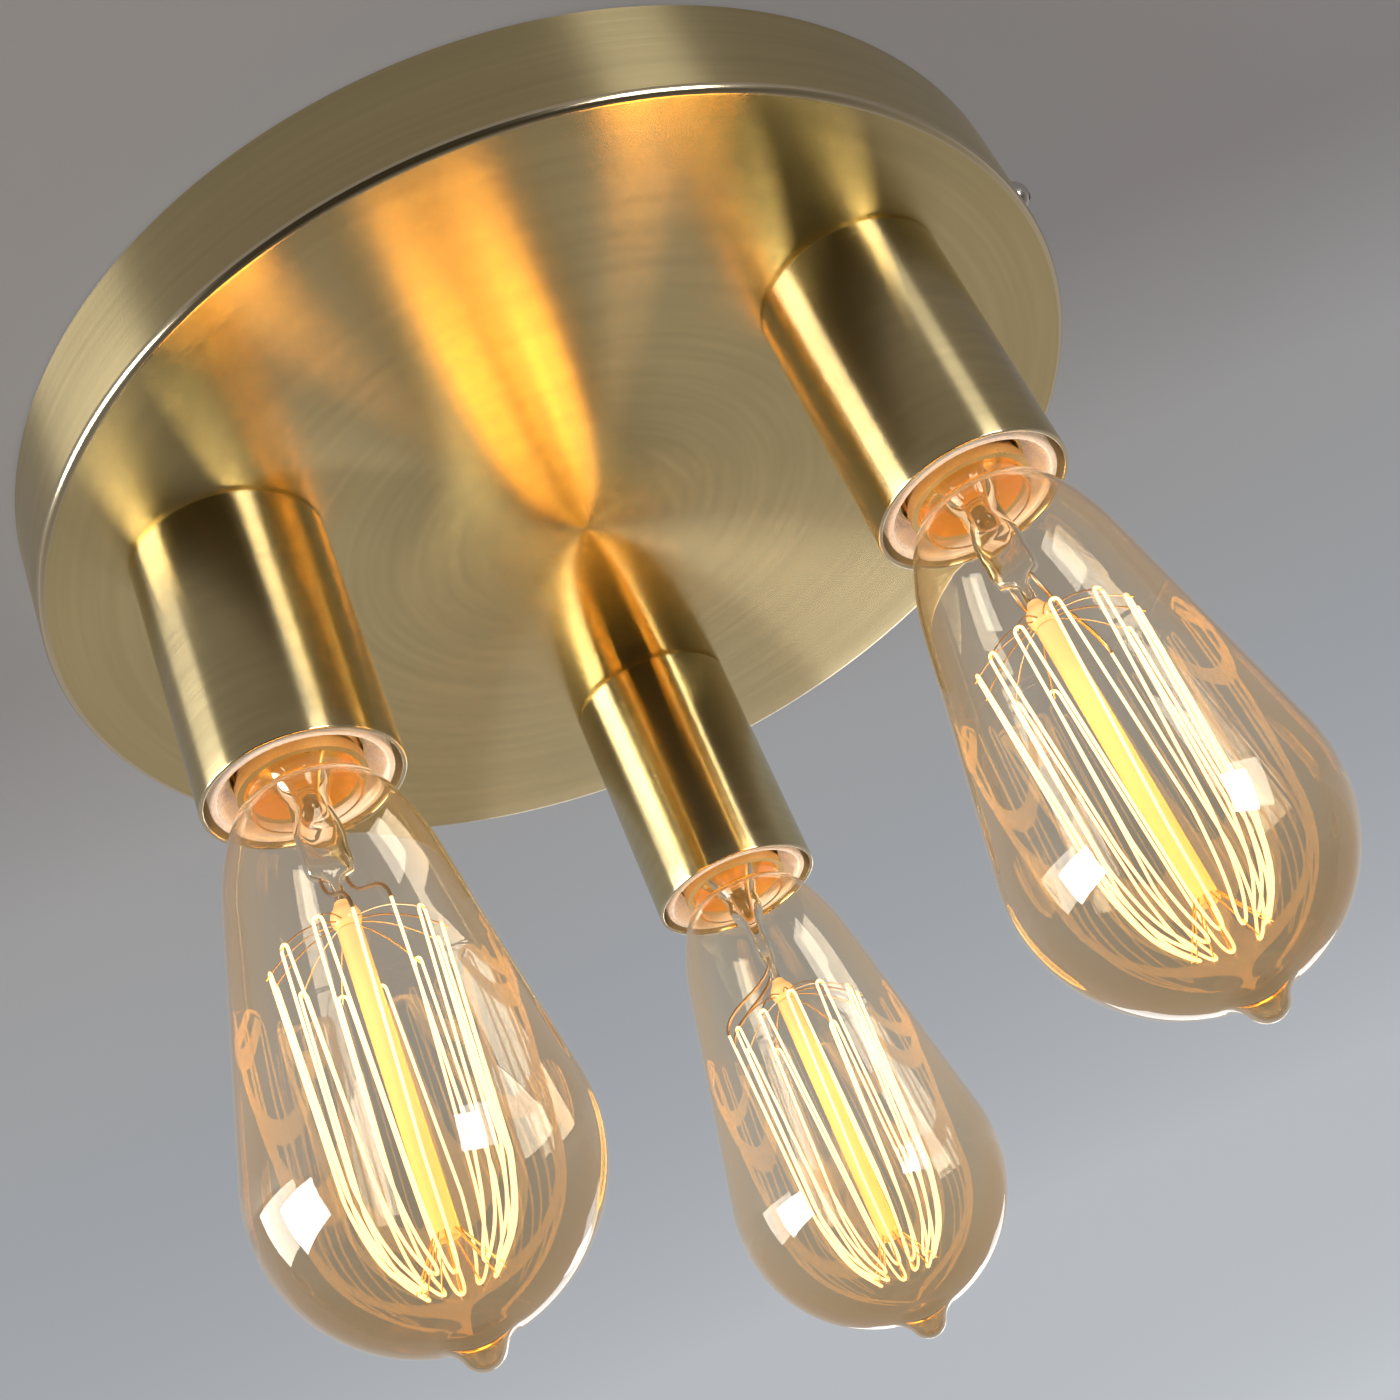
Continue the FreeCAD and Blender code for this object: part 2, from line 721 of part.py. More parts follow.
def centre_contact():
    """Springy brass tongue under the lamp's tip, with the rivet that takes the live lead."""
    floor = holder_floor_depth
    lifted = floor - contact_lift
    pad_end = contact_rivet_offset + contact_pad_outer
    pad_start = contact_rivet_offset - contact_pad_inner
    tongue = flat_outline(
        (pad_end, floor),
        (pad_start, floor),
        (contact_reach, lifted),
        (-contact_reach, lifted),
        (-contact_reach, lifted - contact_thickness),
        (contact_reach, lifted - contact_thickness),
        (pad_start, floor - contact_thickness),
        (pad_end, floor - contact_thickness)).extrude(Vector(0, contact_width, 0))
    tongue.translate(Vector(0, -contact_width / 2, 0))
    tail = cylinder(rivet_radius, floor - contact_thickness / 2, holder_cavity_z, contact_rivet_offset)
    head = cylinder(rivet_head_radius, holder_cavity_z, holder_cavity_z + rivet_head_height,
                    contact_rivet_offset)
    room = cylinder(shell_base_hole_radius - contact_to_shell_gap, contact_face_z - cut_margin, floor)
    return tongue.common(room).fuse([tail, head])


# ---- One bulb ----

def bulb_glass():
    """Pear-shaped glass with a plain neck inside the cap and a drawn tip below."""
    return glass_outline(0.0, neck_end_depth).cut(glass_outline(glass_wall, neck_end_depth + cut_margin))


def arc_move(start, radius, first, last):
    """Arc from start whose outward normal turns from the first angle to the last, and its end."""
    centre = (start[0] - radius * math.cos(first), start[1] - radius * math.sin(first))
    middle = (first + last) / 2
    end = (centre[0] + radius * math.cos(last), centre[1] + radius * math.sin(last))
    return ((centre[0] + radius * math.cos(middle), centre[1] + radius * math.sin(middle)), end), end


def glass_outline(inset, top):
    """Solid inside the glass outline, drawn in by the inset: tip, belly, straight side, shoulder, neck."""
    side = math.radians(bulb_side_angle)
    steep = side + math.radians(upper_side_turn)
    centre_z = -bulb_centre_below_mouth
    # A small ball at the bottom joins the belly through a hollow blend that touches both.
    tip_z = centre_z - bulb_radius - tip_length + tip_ball_radius
    gap = centre_z - tip_z
    drop = ((bulb_radius + tip_blend_radius) ** 2 - (tip_ball_radius + tip_blend_radius) ** 2
            + gap ** 2) / (2 * gap)
    blend_r = math.sqrt((bulb_radius + tip_blend_radius) ** 2 - drop ** 2)
    blend_low = math.atan2(gap - drop, blend_r)
    blend_high = math.atan2(-drop, blend_r)
    bottom = (0, tip_z - tip_ball_radius + inset)
    tip, tip_end = arc_move(bottom, tip_ball_radius - inset, -math.pi / 2, blend_low)
    blend, blend_end = arc_move(tip_end, -tip_blend_radius - inset, blend_low, blend_high)
    belly, belly_end = arc_move(blend_end, bulb_radius - inset, blend_high, side)
    side_length = (bulb_centre_below_mouth - bulb_radius * math.sin(side)
                   - side_end_below_mouth) / math.cos(side)
    side_end = (belly_end[0] - side_length * math.sin(side), belly_end[1] + side_length * math.cos(side))
    upper, upper_end = arc_move(side_end, upper_side_radius - inset, side, steep)
    shoulder_r = upper_end[0] - (shoulder_radius - inset) * math.cos(steep)
    neck = neck_radius - inset
    neck_angle = math.acos((neck - shoulder_r) / (shoulder_radius - inset))
    shoulder, shoulder_end = arc_move(upper_end, shoulder_radius - inset, steep, neck_angle)
    return turned(bottom, tip, blend, belly, side_end, upper, shoulder, (neck, top), (0, top))


def bulb_cap():
    """Threaded brass cap: skirt, screw barrel and the shoulder that holds the insulator."""
    skirt_end = cap_rim_depth + cap_skirt_length
    skirt = cap_crest_radius
    cap = turned(
        (cap_bore_radius, cap_rim_depth),
        (skirt, cap_rim_depth),
        (skirt, skirt_end),
        (cap_root_radius, skirt_end + cap_skirt_taper),
        (cap_root_radius, cap_barrel_depth),
        (cap_shoulder_radius, cap_barrel_depth + cap_shoulder_drop),
        (cap_shoulder_radius - cap_wall, cap_barrel_depth + cap_shoulder_drop),
        (cap_bore_radius, cap_barrel_depth - cap_wall))
    ridge = thread_ridge(cap_root_radius - cap_wall / 2, cap_crest_radius, cap_ridge_half_width,
                         cap_thread_turns)
    ridge.translate(Vector(0, 0, cap_thread_start_depth))
    return cap.fuse(ridge)


def bulb_insulator():
    """Dark glass insulator between the cap's shoulder and the tip contact."""
    low = cap_barrel_depth + cap_shoulder_drop - insulator_step
    high = tip_end_z - tip_contact_height
    seat = cap_shoulder_radius - cap_wall - insulator_fit_gap
    return turned(
        (0, low),
        (seat, low),
        (seat, low + insulator_step),
        (tip_contact_radius + insulator_margin, high),
        (0, high))


def bulb_tip_contact():
    """Soldered contact at the lamp's tip."""
    low = tip_end_z - tip_contact_height
    rim = tip_contact_radius - tip_contact_rim
    return turned(
        (0, low),
        (tip_contact_radius, low),
        ((rim + tip_contact_rim * DIAGONAL, low + tip_contact_height * DIAGONAL), (rim, tip_end_z)),
        (0, tip_end_z))


def bulb_stem():
    """Glass stem: flare in the neck, pinched end, and the rod down the middle of the filament."""
    top = stem_flare_depth
    curve_z = top - stem_flare_curve_drop
    tube_z = top - stem_flare_length
    pinch_top = -pinch_top_below_mouth
    pinch_end = pinch_top - pinch_length
    flare = turned(
        (stem_flare_radius, top),
        ((stem_flare_curve_radius, curve_z), (stem_tube_radius, tube_z)),
        (stem_tube_radius, pinch_top),
        (stem_tube_radius - stem_wall, pinch_top),
        (stem_tube_radius - stem_wall, tube_z),
        ((stem_flare_curve_radius - stem_wall * DIAGONAL, curve_z + stem_wall * DIAGONAL),
         (stem_flare_radius - stem_wall, top)))
    pinch = Part.makeBox(pinch_width, pinch_thickness, pinch_length,
                         Vector(-pinch_width / 2, -pinch_thickness / 2, pinch_end))
    pinch = pinch.makeFillet(pinch_edge_radius, pinch.Edges)
    plug = cylinder(stem_tube_radius, pinch_top - pinch_overlap, pinch_top)
    bead_z = -stem_bead_below_mouth
    neck = cylinder(stem_neck_radius, bead_z, pinch_end + pinch_overlap)
    bead = Part.makeSphere(stem_bead_radius, Vector(0, 0, bead_z))
    rod_end = -rod_end_below_mouth
    rod = cylinder(rod_radius, rod_end, bead_z)
    stem = flare.fuse([plug, pinch, neck, bead, rod]).removeSplitter()
    return stem.cut(cylinder(rod_bore_radius, rod_end - cut_margin, rod_end + rod_bore_depth))


def wobble(index, amount, rate):
    """Small uneven shift, so that no two filament loops are quite alike."""
    return amount * math.sin(rate * (index + 1))


def polar(radius, angle, z, across=0.0):
    """Point at a radius and angle round the lamp's axis, shifted sideways by across."""
    return Vector(radius * math.cos(angle) - across * math.sin(angle),
                  radius * math.sin(angle) + across * math.cos(angle), z)


def loop_angle(index):
    """Angle of the filament loop with this number; halves are the loops' lower tips."""
    step = 2 * math.pi / filament_spacings_round
    gap = 2 * math.pi - step * filament_loops
    return math.pi / 2 + gap / 2 + step * index + math.radians(wobble(index, loop_angle_unevenness, 2.3))


def tip_height(index):
    """Height of the lower tip after this loop."""
    return -cage_tip_below_mouth + wobble(index, tip_height_unevenness, 3.1)


def top_height(index):
    """Height of the upper bend with this number."""
    return -cage_top_below_mouth + wobble(index, top_height_unevenness, 1.7)


def filament_points():
    """Control points of the one wire that runs up and down round the cage."""
    points = [polar(cage_top_radius, loop_angle(0), top_height(0), loop_top_half_width)]
    for index in range(filament_loops):
        tip = loop_angle(index + 0.5)
        low = tip_height(index)
        shapes = ((cage_belly_radius, -cage_belly_below_mouth, loop_belly_half_width),
                  (cage_turn_radius, -cage_turn_below_mouth, loop_turn_half_width),
                  (cage_tip_radius, low, loop_tip_half_width))
        for radius, z, half in shapes:
            points.append(polar(radius, tip, z, -half))
        for radius, z, half in reversed(shapes):
            points.append(polar(radius, tip, z, half))
        bend = loop_angle(index + 1)
        high = top_height(index + 1)
        points.append(polar(cage_top_radius, bend, high, -loop_top_half_width))
        if index + 1 < filament_loops:
            points.append(polar(cage_top_radius, bend, high, loop_top_half_width))
    return points


def filament():
    """Squirrel-cage filament: one unbroken wire in long narrow loops."""
    solid, path, radii = round_wire(filament_points(), filament_radius, filament_bend)
    print("filament length", round(path.Length), "least bend", round(min(radii), 2),
          "volume ratio", round(solid.Volume / (math.pi * filament_radius ** 2 * path.Length), 4),
          "least gap to itself", round(least_gap(path), 2))
    return solid


def least_gap(path):
    """Least clear gap between stretches of the wire that are far apart along it."""
    spacing = 0.5
    apart = int(4.0 / spacing)
    samples = path.discretize(Distance=spacing)
    least = 1e9
    for first in range(0, len(samples), 2):
        for second in range(first + apart, len(samples), 2):
            least = min(least, samples[first].distanceToPoint(samples[second]))
    return least - 2 * filament_radius


def filament_supports():
    """Fine wires from the rod that carry the filament's bends above and below."""
    wires = []
    for index in range(1, filament_loops):
        angle = loop_angle(index)
        drop = filament_radius + support_gap + support_radius
        eye = top_height(index) - drop
        root = math.sqrt(stem_bead_radius ** 2 - support_bead_drop ** 2) + support_root_gap
        start = polar(root, angle, -stem_bead_below_mouth - support_bead_drop)
        middle = polar(support_elbow_radius, angle, -stem_bead_below_mouth - support_elbow_drop)
        slope = (eye - middle.z) / (cage_top_radius - support_elbow_radius)
        end = polar(cage_top_radius + support_overhang, angle, eye + slope * support_overhang)
        wires.append(round_wire([start, middle, end], support_radius, support_bend)[0])
    for index in range(filament_loops):
        angle = loop_angle(index + 0.5)
        low = tip_height(index)
        run = Vector(cage_turn_radius - cage_tip_radius, 0, -cage_turn_below_mouth - low).normalize()
        inside = filament_radius + support_gap + support_radius
        eye = polar(cage_tip_radius + run.x * inside, angle, low + run.z * inside)
        start = polar(rod_radius + support_radius + support_root_gap, angle,
                      support_root_rise - rod_end_below_mouth)
        beyond = eye + (eye - start).normalize() * support_overhang
        wires.append(Part.makeCylinder(support_radius, start.distanceToPoint(beyond), start, beyond - start))
    return Part.makeCompound(wires)


def lead_in_wires():
    """The two stiff wires from the pinch to the filament's ends."""
    pinch_end = -pinch_top_below_mouth - pinch_length
    points = filament_points()
    wires = []
    for side, end, next_point in ((-1, points[0], points[1]), (1, points[-1], points[-2])):
        along = (end - next_point).normalize()
        start = Vector(side * lead_in_spread, 0, pinch_end - support_root_gap)
        below = start - Vector(0, 0, lead_in_straight)
        above = end + along * lead_in_straight
        wires.append(round_wire([start, below, above, end], lead_in_radius, lead_in_bend)[0])
    return Part.makeCompound(wires)


# ---- Writing the sub-parts ----

def main():
    """Builds every sub-part and writes it under its own name."""
    os.makedirs("parts", exist_ok=True)
    save("ceiling_plate", ceiling_plate())
    save("mounting_strap", mounting_strap())
    save("side_screws", side_screws())
    save("earth_screw", earth_screw())
    save("earth_tag", earth_tag())
    save("earth_lead", earth_lead())
    save("terminal_block", terminal_block())
    save("terminal_screws", terminal_screws())
    save("nipple_nuts", nipple_nuts())
    save("nipple_washers", nipple_washers())
    save("shell_rivets", shell_rivets())
    lamp_pieces = {
        "cup": cup(),
        "nipple": nipple(),
        "holder_hub": holder_hub(),
        "lampholder": lampholder(),
        "screw_shell": screw_shell(),
        "centre_contact": centre_contact(),
        "bulb_glass": bulb_glass(),
        "bulb_cap": bulb_cap(),
        "bulb_insulator": bulb_insulator(),
        "bulb_tip_contact": bulb_tip_contact(),
        "bulb_stem": bulb_stem(),
        "bulb_lead_wires": lead_in_wires(),
        "bulb_supports": filament_supports(),
        "bulb_filament": filament()}
    for lamp in lamp_azimuths:
        for name, shape in lamp_pieces.items():
            save(name + "_" + lamp, placed(shape, lamp))
        save("live_lead_" + lamp, lead(lamp, "live"))
        save("neutral_lead_" + lamp, lead(lamp, "neutral"))


main()
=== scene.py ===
# %% [markdown]
# # A semi flush ceiling light with three bare filament lamps
# A shallow round pan hangs on a strap, three cups hang under the pan, and each cup holds a lamp whose
# amber glass and long filament loops are the show piece.  This lesson dresses the measured model: most
# of the light is turned on a lathe or blown round, so one small turning helper makes nearly all of it.
# The numbers are millimetres on the real object and are scaled to metres when a mesh is made.

# %% Load the measured model
import math
import bpy
from mathutils import Matrix, Vector


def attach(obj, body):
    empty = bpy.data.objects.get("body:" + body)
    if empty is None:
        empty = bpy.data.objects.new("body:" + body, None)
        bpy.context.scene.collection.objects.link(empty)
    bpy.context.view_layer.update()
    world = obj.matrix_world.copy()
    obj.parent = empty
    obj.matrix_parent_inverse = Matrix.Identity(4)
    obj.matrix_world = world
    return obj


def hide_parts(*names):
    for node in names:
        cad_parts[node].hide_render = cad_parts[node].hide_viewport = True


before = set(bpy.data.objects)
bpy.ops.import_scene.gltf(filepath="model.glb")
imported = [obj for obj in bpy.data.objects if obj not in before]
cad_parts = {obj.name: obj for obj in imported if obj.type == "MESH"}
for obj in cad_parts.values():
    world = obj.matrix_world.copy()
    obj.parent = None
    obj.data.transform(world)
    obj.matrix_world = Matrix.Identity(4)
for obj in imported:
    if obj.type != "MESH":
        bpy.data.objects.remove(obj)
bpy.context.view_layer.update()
MM = 0.001

# %% [markdown]
# ## Where the camera stands
# The picture was taken from below and to one side with a fairly long lens.  The place, aim and roll
# come from matching the pan's two edges, the cups and the bulbs, so they are written as one matrix.

# %% Camera
LENS_IN_WIDTHS = 1952.5 / 1400
SENSOR_WIDTH = 36.0
CAMERA_DISTANCE = 469.5
CAMERA_ELEVATION = 0.6713
CAMERA_ROLL = -0.4133
AIM_SIDE = -0.0760
AIM_UP = -0.1268
CAMERA_TURN = 0.2644


def turn_about(vector, axis, angle):
    """A vector turned about an axis."""
    return Matrix.Rotation(angle, 3, axis) @ vector


def place_camera():
    """Puts the camera at its fitted place."""
    place = Vector((0, -math.cos(CAMERA_ELEVATION), -math.sin(CAMERA_ELEVATION))) * CAMERA_DISTANCE
    ahead = -place.normalized()
    side = ahead.cross(Vector((0, 0, 1))).normalized()
    up = side.cross(ahead)
    side, up = (math.cos(CAMERA_ROLL) * side + math.sin(CAMERA_ROLL) * up,
                math.cos(CAMERA_ROLL) * up - math.sin(CAMERA_ROLL) * side)
    ahead, side = turn_about(ahead, up, AIM_SIDE), turn_about(side, up, AIM_SIDE)
    ahead, up = turn_about(ahead, side, AIM_UP), turn_about(up, side, AIM_UP)
    spin = Matrix.Rotation(CAMERA_TURN, 3, "Z")
    place, side, up, ahead = (spin @ v for v in (place, side, up, ahead))
    data = bpy.data.cameras.new("camera")
    data.sensor_width = SENSOR_WIDTH
    data.lens = LENS_IN_WIDTHS * data.sensor_width
    data.clip_start = 0.01
    data.clip_end = 50.0
    camera = bpy.data.objects.new("camera", data)
    bpy.context.scene.collection.objects.link(camera)
    rotation = Matrix((side, up, -ahead)).transposed().to_4x4()
    camera.matrix_world = Matrix.Translation(place * MM) @ rotation
    bpy.context.scene.camera = camera
    return camera


camera = place_camera()
print("camera lens", round(camera.data.lens, 1), "mm at", [round(v, 3) for v in camera.location])

# %% [markdown]
# ## The turning helper
# A lathe part is an outline swept round an axis.  Blender can do this with a Screw modifier, but making the rings one
# by one also gives a clean map: one way round the part, and the distance along the outline the other way.  The
# brushing follows that map later.

# %% Outline pieces and the turning helper
LAMPS = {"right": -13.5, "rear": 106.5, "left": 226.5}
LAMP_CIRCLE = 83.0
MOUTH_Z = -86.5


def lamp_place(lamp):
    """Matrix from a lamp's own frame, mouth at z = 0, to its place under the pan, in millimetres."""
    angle = math.radians(LAMPS[lamp])
    spot = Vector((LAMP_CIRCLE * math.cos(angle), LAMP_CIRCLE * math.sin(angle), MOUTH_Z))
    return Matrix.Translation(spot) @ Matrix.Rotation(angle, 4, "Z")


def arc(centre, radius, first, last, steps):
    """Points on an arc from one angle to another, in degrees."""
    points = []
    for step in range(steps + 1):
        angle = math.radians(first + (last - first) * step / steps)
        points.append((centre[0] + radius * math.cos(angle), centre[1] + radius * math.sin(angle)))
    return points


def dense(points, longest):
    """The same outline with long straight runs divided."""
    result = [points[0]]
    for start, end in zip(points, points[1:]):
        count = max(1, math.ceil(math.dist(start, end) / longest))
        for step in range(1, count + 1):
            t = step / count
            result.append((start[0] + (end[0] - start[0]) * t, start[1] + (end[1] - start[1]) * t))
    return result


def mesh_piece(name, points, faces, uvs, body, nodes, material, sharp=35.0):
    """A smooth mesh in metres that rides on a body and stands for CAD nodes."""
    mesh = bpy.data.meshes.new(name)
    mesh.from_pydata([Vector(p) * MM for p in points], [], faces)
    layer = mesh.uv_layers.new(name="UVMap")
    for loop, uv in zip(layer.data, uvs):
        loop.uv = uv
    mesh.polygons.foreach_set("use_smooth", [True] * len(mesh.polygons))
    mesh.set_sharp_from_angle(angle=math.radians(sharp))
    mesh.materials.append(material)
    piece = bpy.data.objects.new(name, mesh)
    bpy.context.scene.collection.objects.link(piece)
    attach(piece, body)
    if nodes:
        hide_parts(*nodes)
    return piece


def ring_grid(rings, place):
    """Points, faces and map of rings of points.  A ring of one point is a pole; without poles the rings close up."""
    points, starts, faces, uvs = [], [], [], []
    for ring in rings:
        starts.append(len(points))
        points.extend(place @ Vector(p) for p in ring)
    pairs = list(zip(range(len(rings)), range(1, len(rings))))
    if len(rings[0]) > 1:
        pairs.append((len(rings) - 1, 0))
    along = [0.0]
    for low, high in zip(rings, rings[1:]):
        along.append(along[-1] + (Vector(high[0]) - Vector(low[0])).length * MM)
    for low, high in pairs:
        count = max(len(rings[low]), len(rings[high]))
        top = along[high] if high else along[low] + MM
        for i in range(count):
            j = (i + 1) % count
            corners = []
            if len(rings[low]) > 1:
                corners += [(starts[low] + i, i / count, along[low]), (starts[low] + j, (i + 1) / count, along[low])]
            else:
                corners += [(starts[low], (i + 0.5) / count, along[low])]
            if len(rings[high]) > 1:
                corners += [(starts[high] + j, (i + 1) / count, top), (starts[high] + i, i / count, top)]
            else:
                corners += [(starts[high], (i + 0.5) / count, top)]
            faces.append([c[0] for c in corners])
            uvs.extend((c[1], c[2]) for c in corners)
    return points, faces, uvs


def turned_rings(outline, segments):
    """Rings of an outline of (radius, height) points swept round Z."""
    rings = []
    for radius, z in outline:
        if radius < 1e-6:
            rings.append([(0, 0, z)])
            continue
        angles = (2 * math.pi * i / segments for i in range(segments))
        rings.append([(radius * math.cos(a), radius * math.sin(a), z) for a in angles])
    return rings


def turned(name, outline, body, nodes, material, place=Matrix(), segments=128, sharp=35.0):
    """A turned piece from an outline that runs counter-clockwise in the (radius, z) plane."""
    points, faces, uvs = ring_grid(turned_rings(outline, segments), place)
    return mesh_piece(name, points, faces, uvs, body, nodes, material, sharp)


print("lamps at", {lamp: tuple(round(v, 1) for v in lamp_place(lamp).translation) for lamp in LAMPS})

# %% [markdown]
# ## Helpers for materials
# Every finish below is one Principled shader fed by small groups of nodes.  The groups only work out
# masks, colours and heights; the shader and its fixed numbers stay in the material where they are
# easy to find.

# %% Node helpers
def new_material(name):
    """An empty node material with a Principled shader."""
    material = bpy.data.materials.new(name)
    material.use_nodes = True
    shader = material.node_tree.nodes["Principled BSDF"]
    return material, material.node_tree.nodes, material.node_tree.links, shader


def math_node(nodes, links, operation, *values):
    """A Math node whose inputs are numbers or sockets."""
    node = nodes.new("ShaderNodeMath")
    node.operation = operation
    for socket, value in zip(node.inputs, values):
        if isinstance(value, (int, float)):
            socket.default_value = value
        else:
            links.new(value, socket)
    return node.outputs[0]


def ramp(nodes, links, factor, stops):
    """A colour ramp from (position, colour) stops."""
    node = nodes.new("ShaderNodeValToRGB")
    elements = node.color_ramp.elements
    while len(elements) < len(stops):
        elements.new(0.5)
    for element, (position, colour) in zip(elements, stops):
        element.position = position
        element.color = (*colour, 1.0)
    links.new(factor, node.inputs["Fac"])
    return node.outputs["Color"]


def multiplied(nodes, links, factor, colour, by):
    """A colour multiplied by a fixed one, by a factor."""
    node = nodes.new("ShaderNodeMix")
    node.data_type = "RGBA"
    node.blend_type = "MULTIPLY"
    links.new(factor, node.inputs["Factor"])
    links.new(colour, node.inputs["A"])
    node.inputs["B"].default_value = (*by, 1.0)
    return node.outputs["Result"]


def map_range(nodes, links, value, low, high, to_low, to_high):
    """A Map Range node with plain numbers."""
    node = nodes.new("ShaderNodeMapRange")
    for name, number in (("From Min", low), ("From Max", high), ("To Min", to_low), ("To Max", to_high)):
        node.inputs[name].default_value = number
    links.new(value, node.inputs["Value"])
    return node.outputs["Result"]


def new_group(name, inputs, outputs):
    """A shader node group; inputs and outputs are (name, socket type, default)."""
    group = bpy.data.node_groups.new(name, "ShaderNodeTree")
    for label, kind, default in inputs:
        socket = group.interface.new_socket(label, in_out="INPUT", socket_type=kind)
        if default is not None:
            socket.default_value = default
    for label, kind in outputs:
        group.interface.new_socket(label, in_out="OUTPUT", socket_type=kind)
    start = group.nodes.new("NodeGroupInput")
    end = group.nodes.new("NodeGroupOutput")
    return group, start, end


def use_group(nodes, links, group, **values):
    """Places a group in a material with its own values or links."""
    node = nodes.new("ShaderNodeGroup")
    node.node_tree = group
    for label, value in values.items():
        socket = node.inputs[label.replace("_", " ")]
        if isinstance(value, (int, float, tuple)):
            socket.default_value = value
        else:
            links.new(value, socket)
    return node.outputs


def add_painted_glow(shader, colour):
    """Paints in, as an even emission, the light that a hollow or translucent piece gathers from the filament."""
    shader.inputs["Emission Color"].default_value = (*colour, 1.0)
    shader.inputs["Emission Strength"].default_value = 1.0


def bump(nodes, links, shader, height, strength, distance):
    """Feeds a height to the shader's normal."""
    node = nodes.new("ShaderNodeBump")
    node.inputs["Strength"].default_value = strength
    node.inputs["Distance"].default_value = distance
    links.new(height, node.inputs["Height"])
    links.new(node.outputs["Normal"], shader.inputs["Normal"])


print("node helpers ready")

# %% [markdown]
# ## Turned grain
# The pan and the cups are brushed on a lathe, so fine scratches run round them.  A noise texture is
# stretched along the way round and squeezed along the outline.  Walking round a circle of noise, with
# the cosine and sine of the way round, leaves no seam where the map starts again.  A slower share of
# the same noise gives the broader bands that a lathe tool leaves.

# %% Turned grain group
def build_turned_grain():
    """Scratches that run round a turned part, from its map."""
    group, start, end = new_group(
        "turned grain",
        [("Map", "NodeSocketVector", None), ("Run", "NodeSocketFloat", 1.2), ("Lines", "NodeSocketFloat", 4000.0)],
        [("Fine", "NodeSocketFloat"), ("Bands", "NodeSocketFloat")])
    nodes, links = group.nodes, group.links
    split = nodes.new("ShaderNodeSeparateXYZ")
    links.new(start.outputs["Map"], split.inputs[0])
    angle = math_node(nodes, links, "MULTIPLY", split.outputs["X"], 2 * math.pi)
    x = math_node(nodes, links, "MULTIPLY", math_node(nodes, links, "COSINE", angle), start.outputs["Run"])
    y = math_node(nodes, links, "MULTIPLY", math_node(nodes, links, "SINE", angle), start.outputs["Run"])
    for label, share, detail in (("Fine", 1.0, 4.0), ("Bands", 0.12, 3.0)):
        z = math_node(nodes, links, "MULTIPLY", split.outputs["Y"], start.outputs["Lines"])
        z = math_node(nodes, links, "MULTIPLY", z, share)
        join = nodes.new("ShaderNodeCombineXYZ")
        for value, socket in zip((x, y, z), join.inputs):
            links.new(value, socket)
        noise = nodes.new("ShaderNodeTexNoise")
        noise.inputs["Scale"].default_value = 1.0
        noise.inputs["Detail"].default_value = detail
        links.new(join.outputs[0], noise.inputs["Vector"])
        links.new(noise.outputs["Fac"], end.inputs[label])
    return group


turned_grain = build_turned_grain()
print("group:", turned_grain.name, [s.name for s in turned_grain.interface.items_tree])

# %% [markdown]
# ## Handling marks
# Even a new lamp has faint cloudy patches where it was wiped.  On metal they change how sharp the
# reflections are.  On glaze, plastic and paint they shift the colour by a few hundredths, so they
# stay quiet everywhere.

# %% Handling group
def build_handling():
    """Soft uneven patches, with a few finer flecks, from a point on the piece."""
    group, start, end = new_group(
        "handling",
        [("Point", "NodeSocketVector", None), ("Size", "NodeSocketFloat", 60.0)],
        [("Patches", "NodeSocketFloat"), ("Flecks", "NodeSocketFloat")])
    nodes, links = group.nodes, group.links
    for label, share, detail in (("Patches", 1.0, 3.0), ("Flecks", 22.0, 2.0)):
        noise = nodes.new("ShaderNodeTexNoise")
        links.new(start.outputs["Point"], noise.inputs["Vector"])
        links.new(math_node(nodes, links, "MULTIPLY", start.outputs["Size"], share), noise.inputs["Scale"])
        noise.inputs["Detail"].default_value = detail
        links.new(noise.outputs["Fac"], end.inputs[label])
    return group


handling = build_handling()
print("group:", handling.name)

# %% [markdown]
# ## Satin brass
# Scratches that run round the part spread a reflection across themselves, so a lamp's reflection
# turns into a long streak that points at the middle.  The anisotropic setting does just this.  Its
# direction comes from a radial tangent, turned a quarter so that the long way lies across the grain.

# %% Satin brass and the polished edge with its painted highlight
def satin_brass_material(name, colour, rough, grain_bump, anisotropy):
    """Lathe-brushed brass."""
    material, nodes, links, shader = new_material(name)
    coordinates = nodes.new("ShaderNodeTexCoord")
    grain = use_group(nodes, links, turned_grain, Map=coordinates.outputs["UV"])
    marks = use_group(nodes, links, handling, Point=coordinates.outputs["Object"], Size=25.0)
    tangent = nodes.new("ShaderNodeTangent")
    tangent.direction_type = "RADIAL"
    tangent.axis = "Z"
    links.new(tangent.outputs["Tangent"], shader.inputs["Tangent"])
    shader.inputs["Anisotropic"].default_value = anisotropy
    shader.inputs["Anisotropic Rotation"].default_value = 0.25
    shader.inputs["Metallic"].default_value = 1.0
    light = tuple(c * 1.05 for c in colour)
    dark = tuple(c * 0.94 for c in colour)
    links.new(ramp(nodes, links, grain["Bands"], [(0.3, dark), (0.7, light)]), shader.inputs["Base Color"])
    cloud = map_range(nodes, links, marks["Patches"], 0.3, 0.7, rough * 0.97, rough * 1.03)
    line = map_range(nodes, links, grain["Fine"], 0.3, 0.7, -0.015, 0.015)
    links.new(math_node(nodes, links, "ADD", cloud, line), shader.inputs["Roughness"])
    bump(nodes, links, shader, grain["Fine"], grain_bump, 0.00002)
    return material


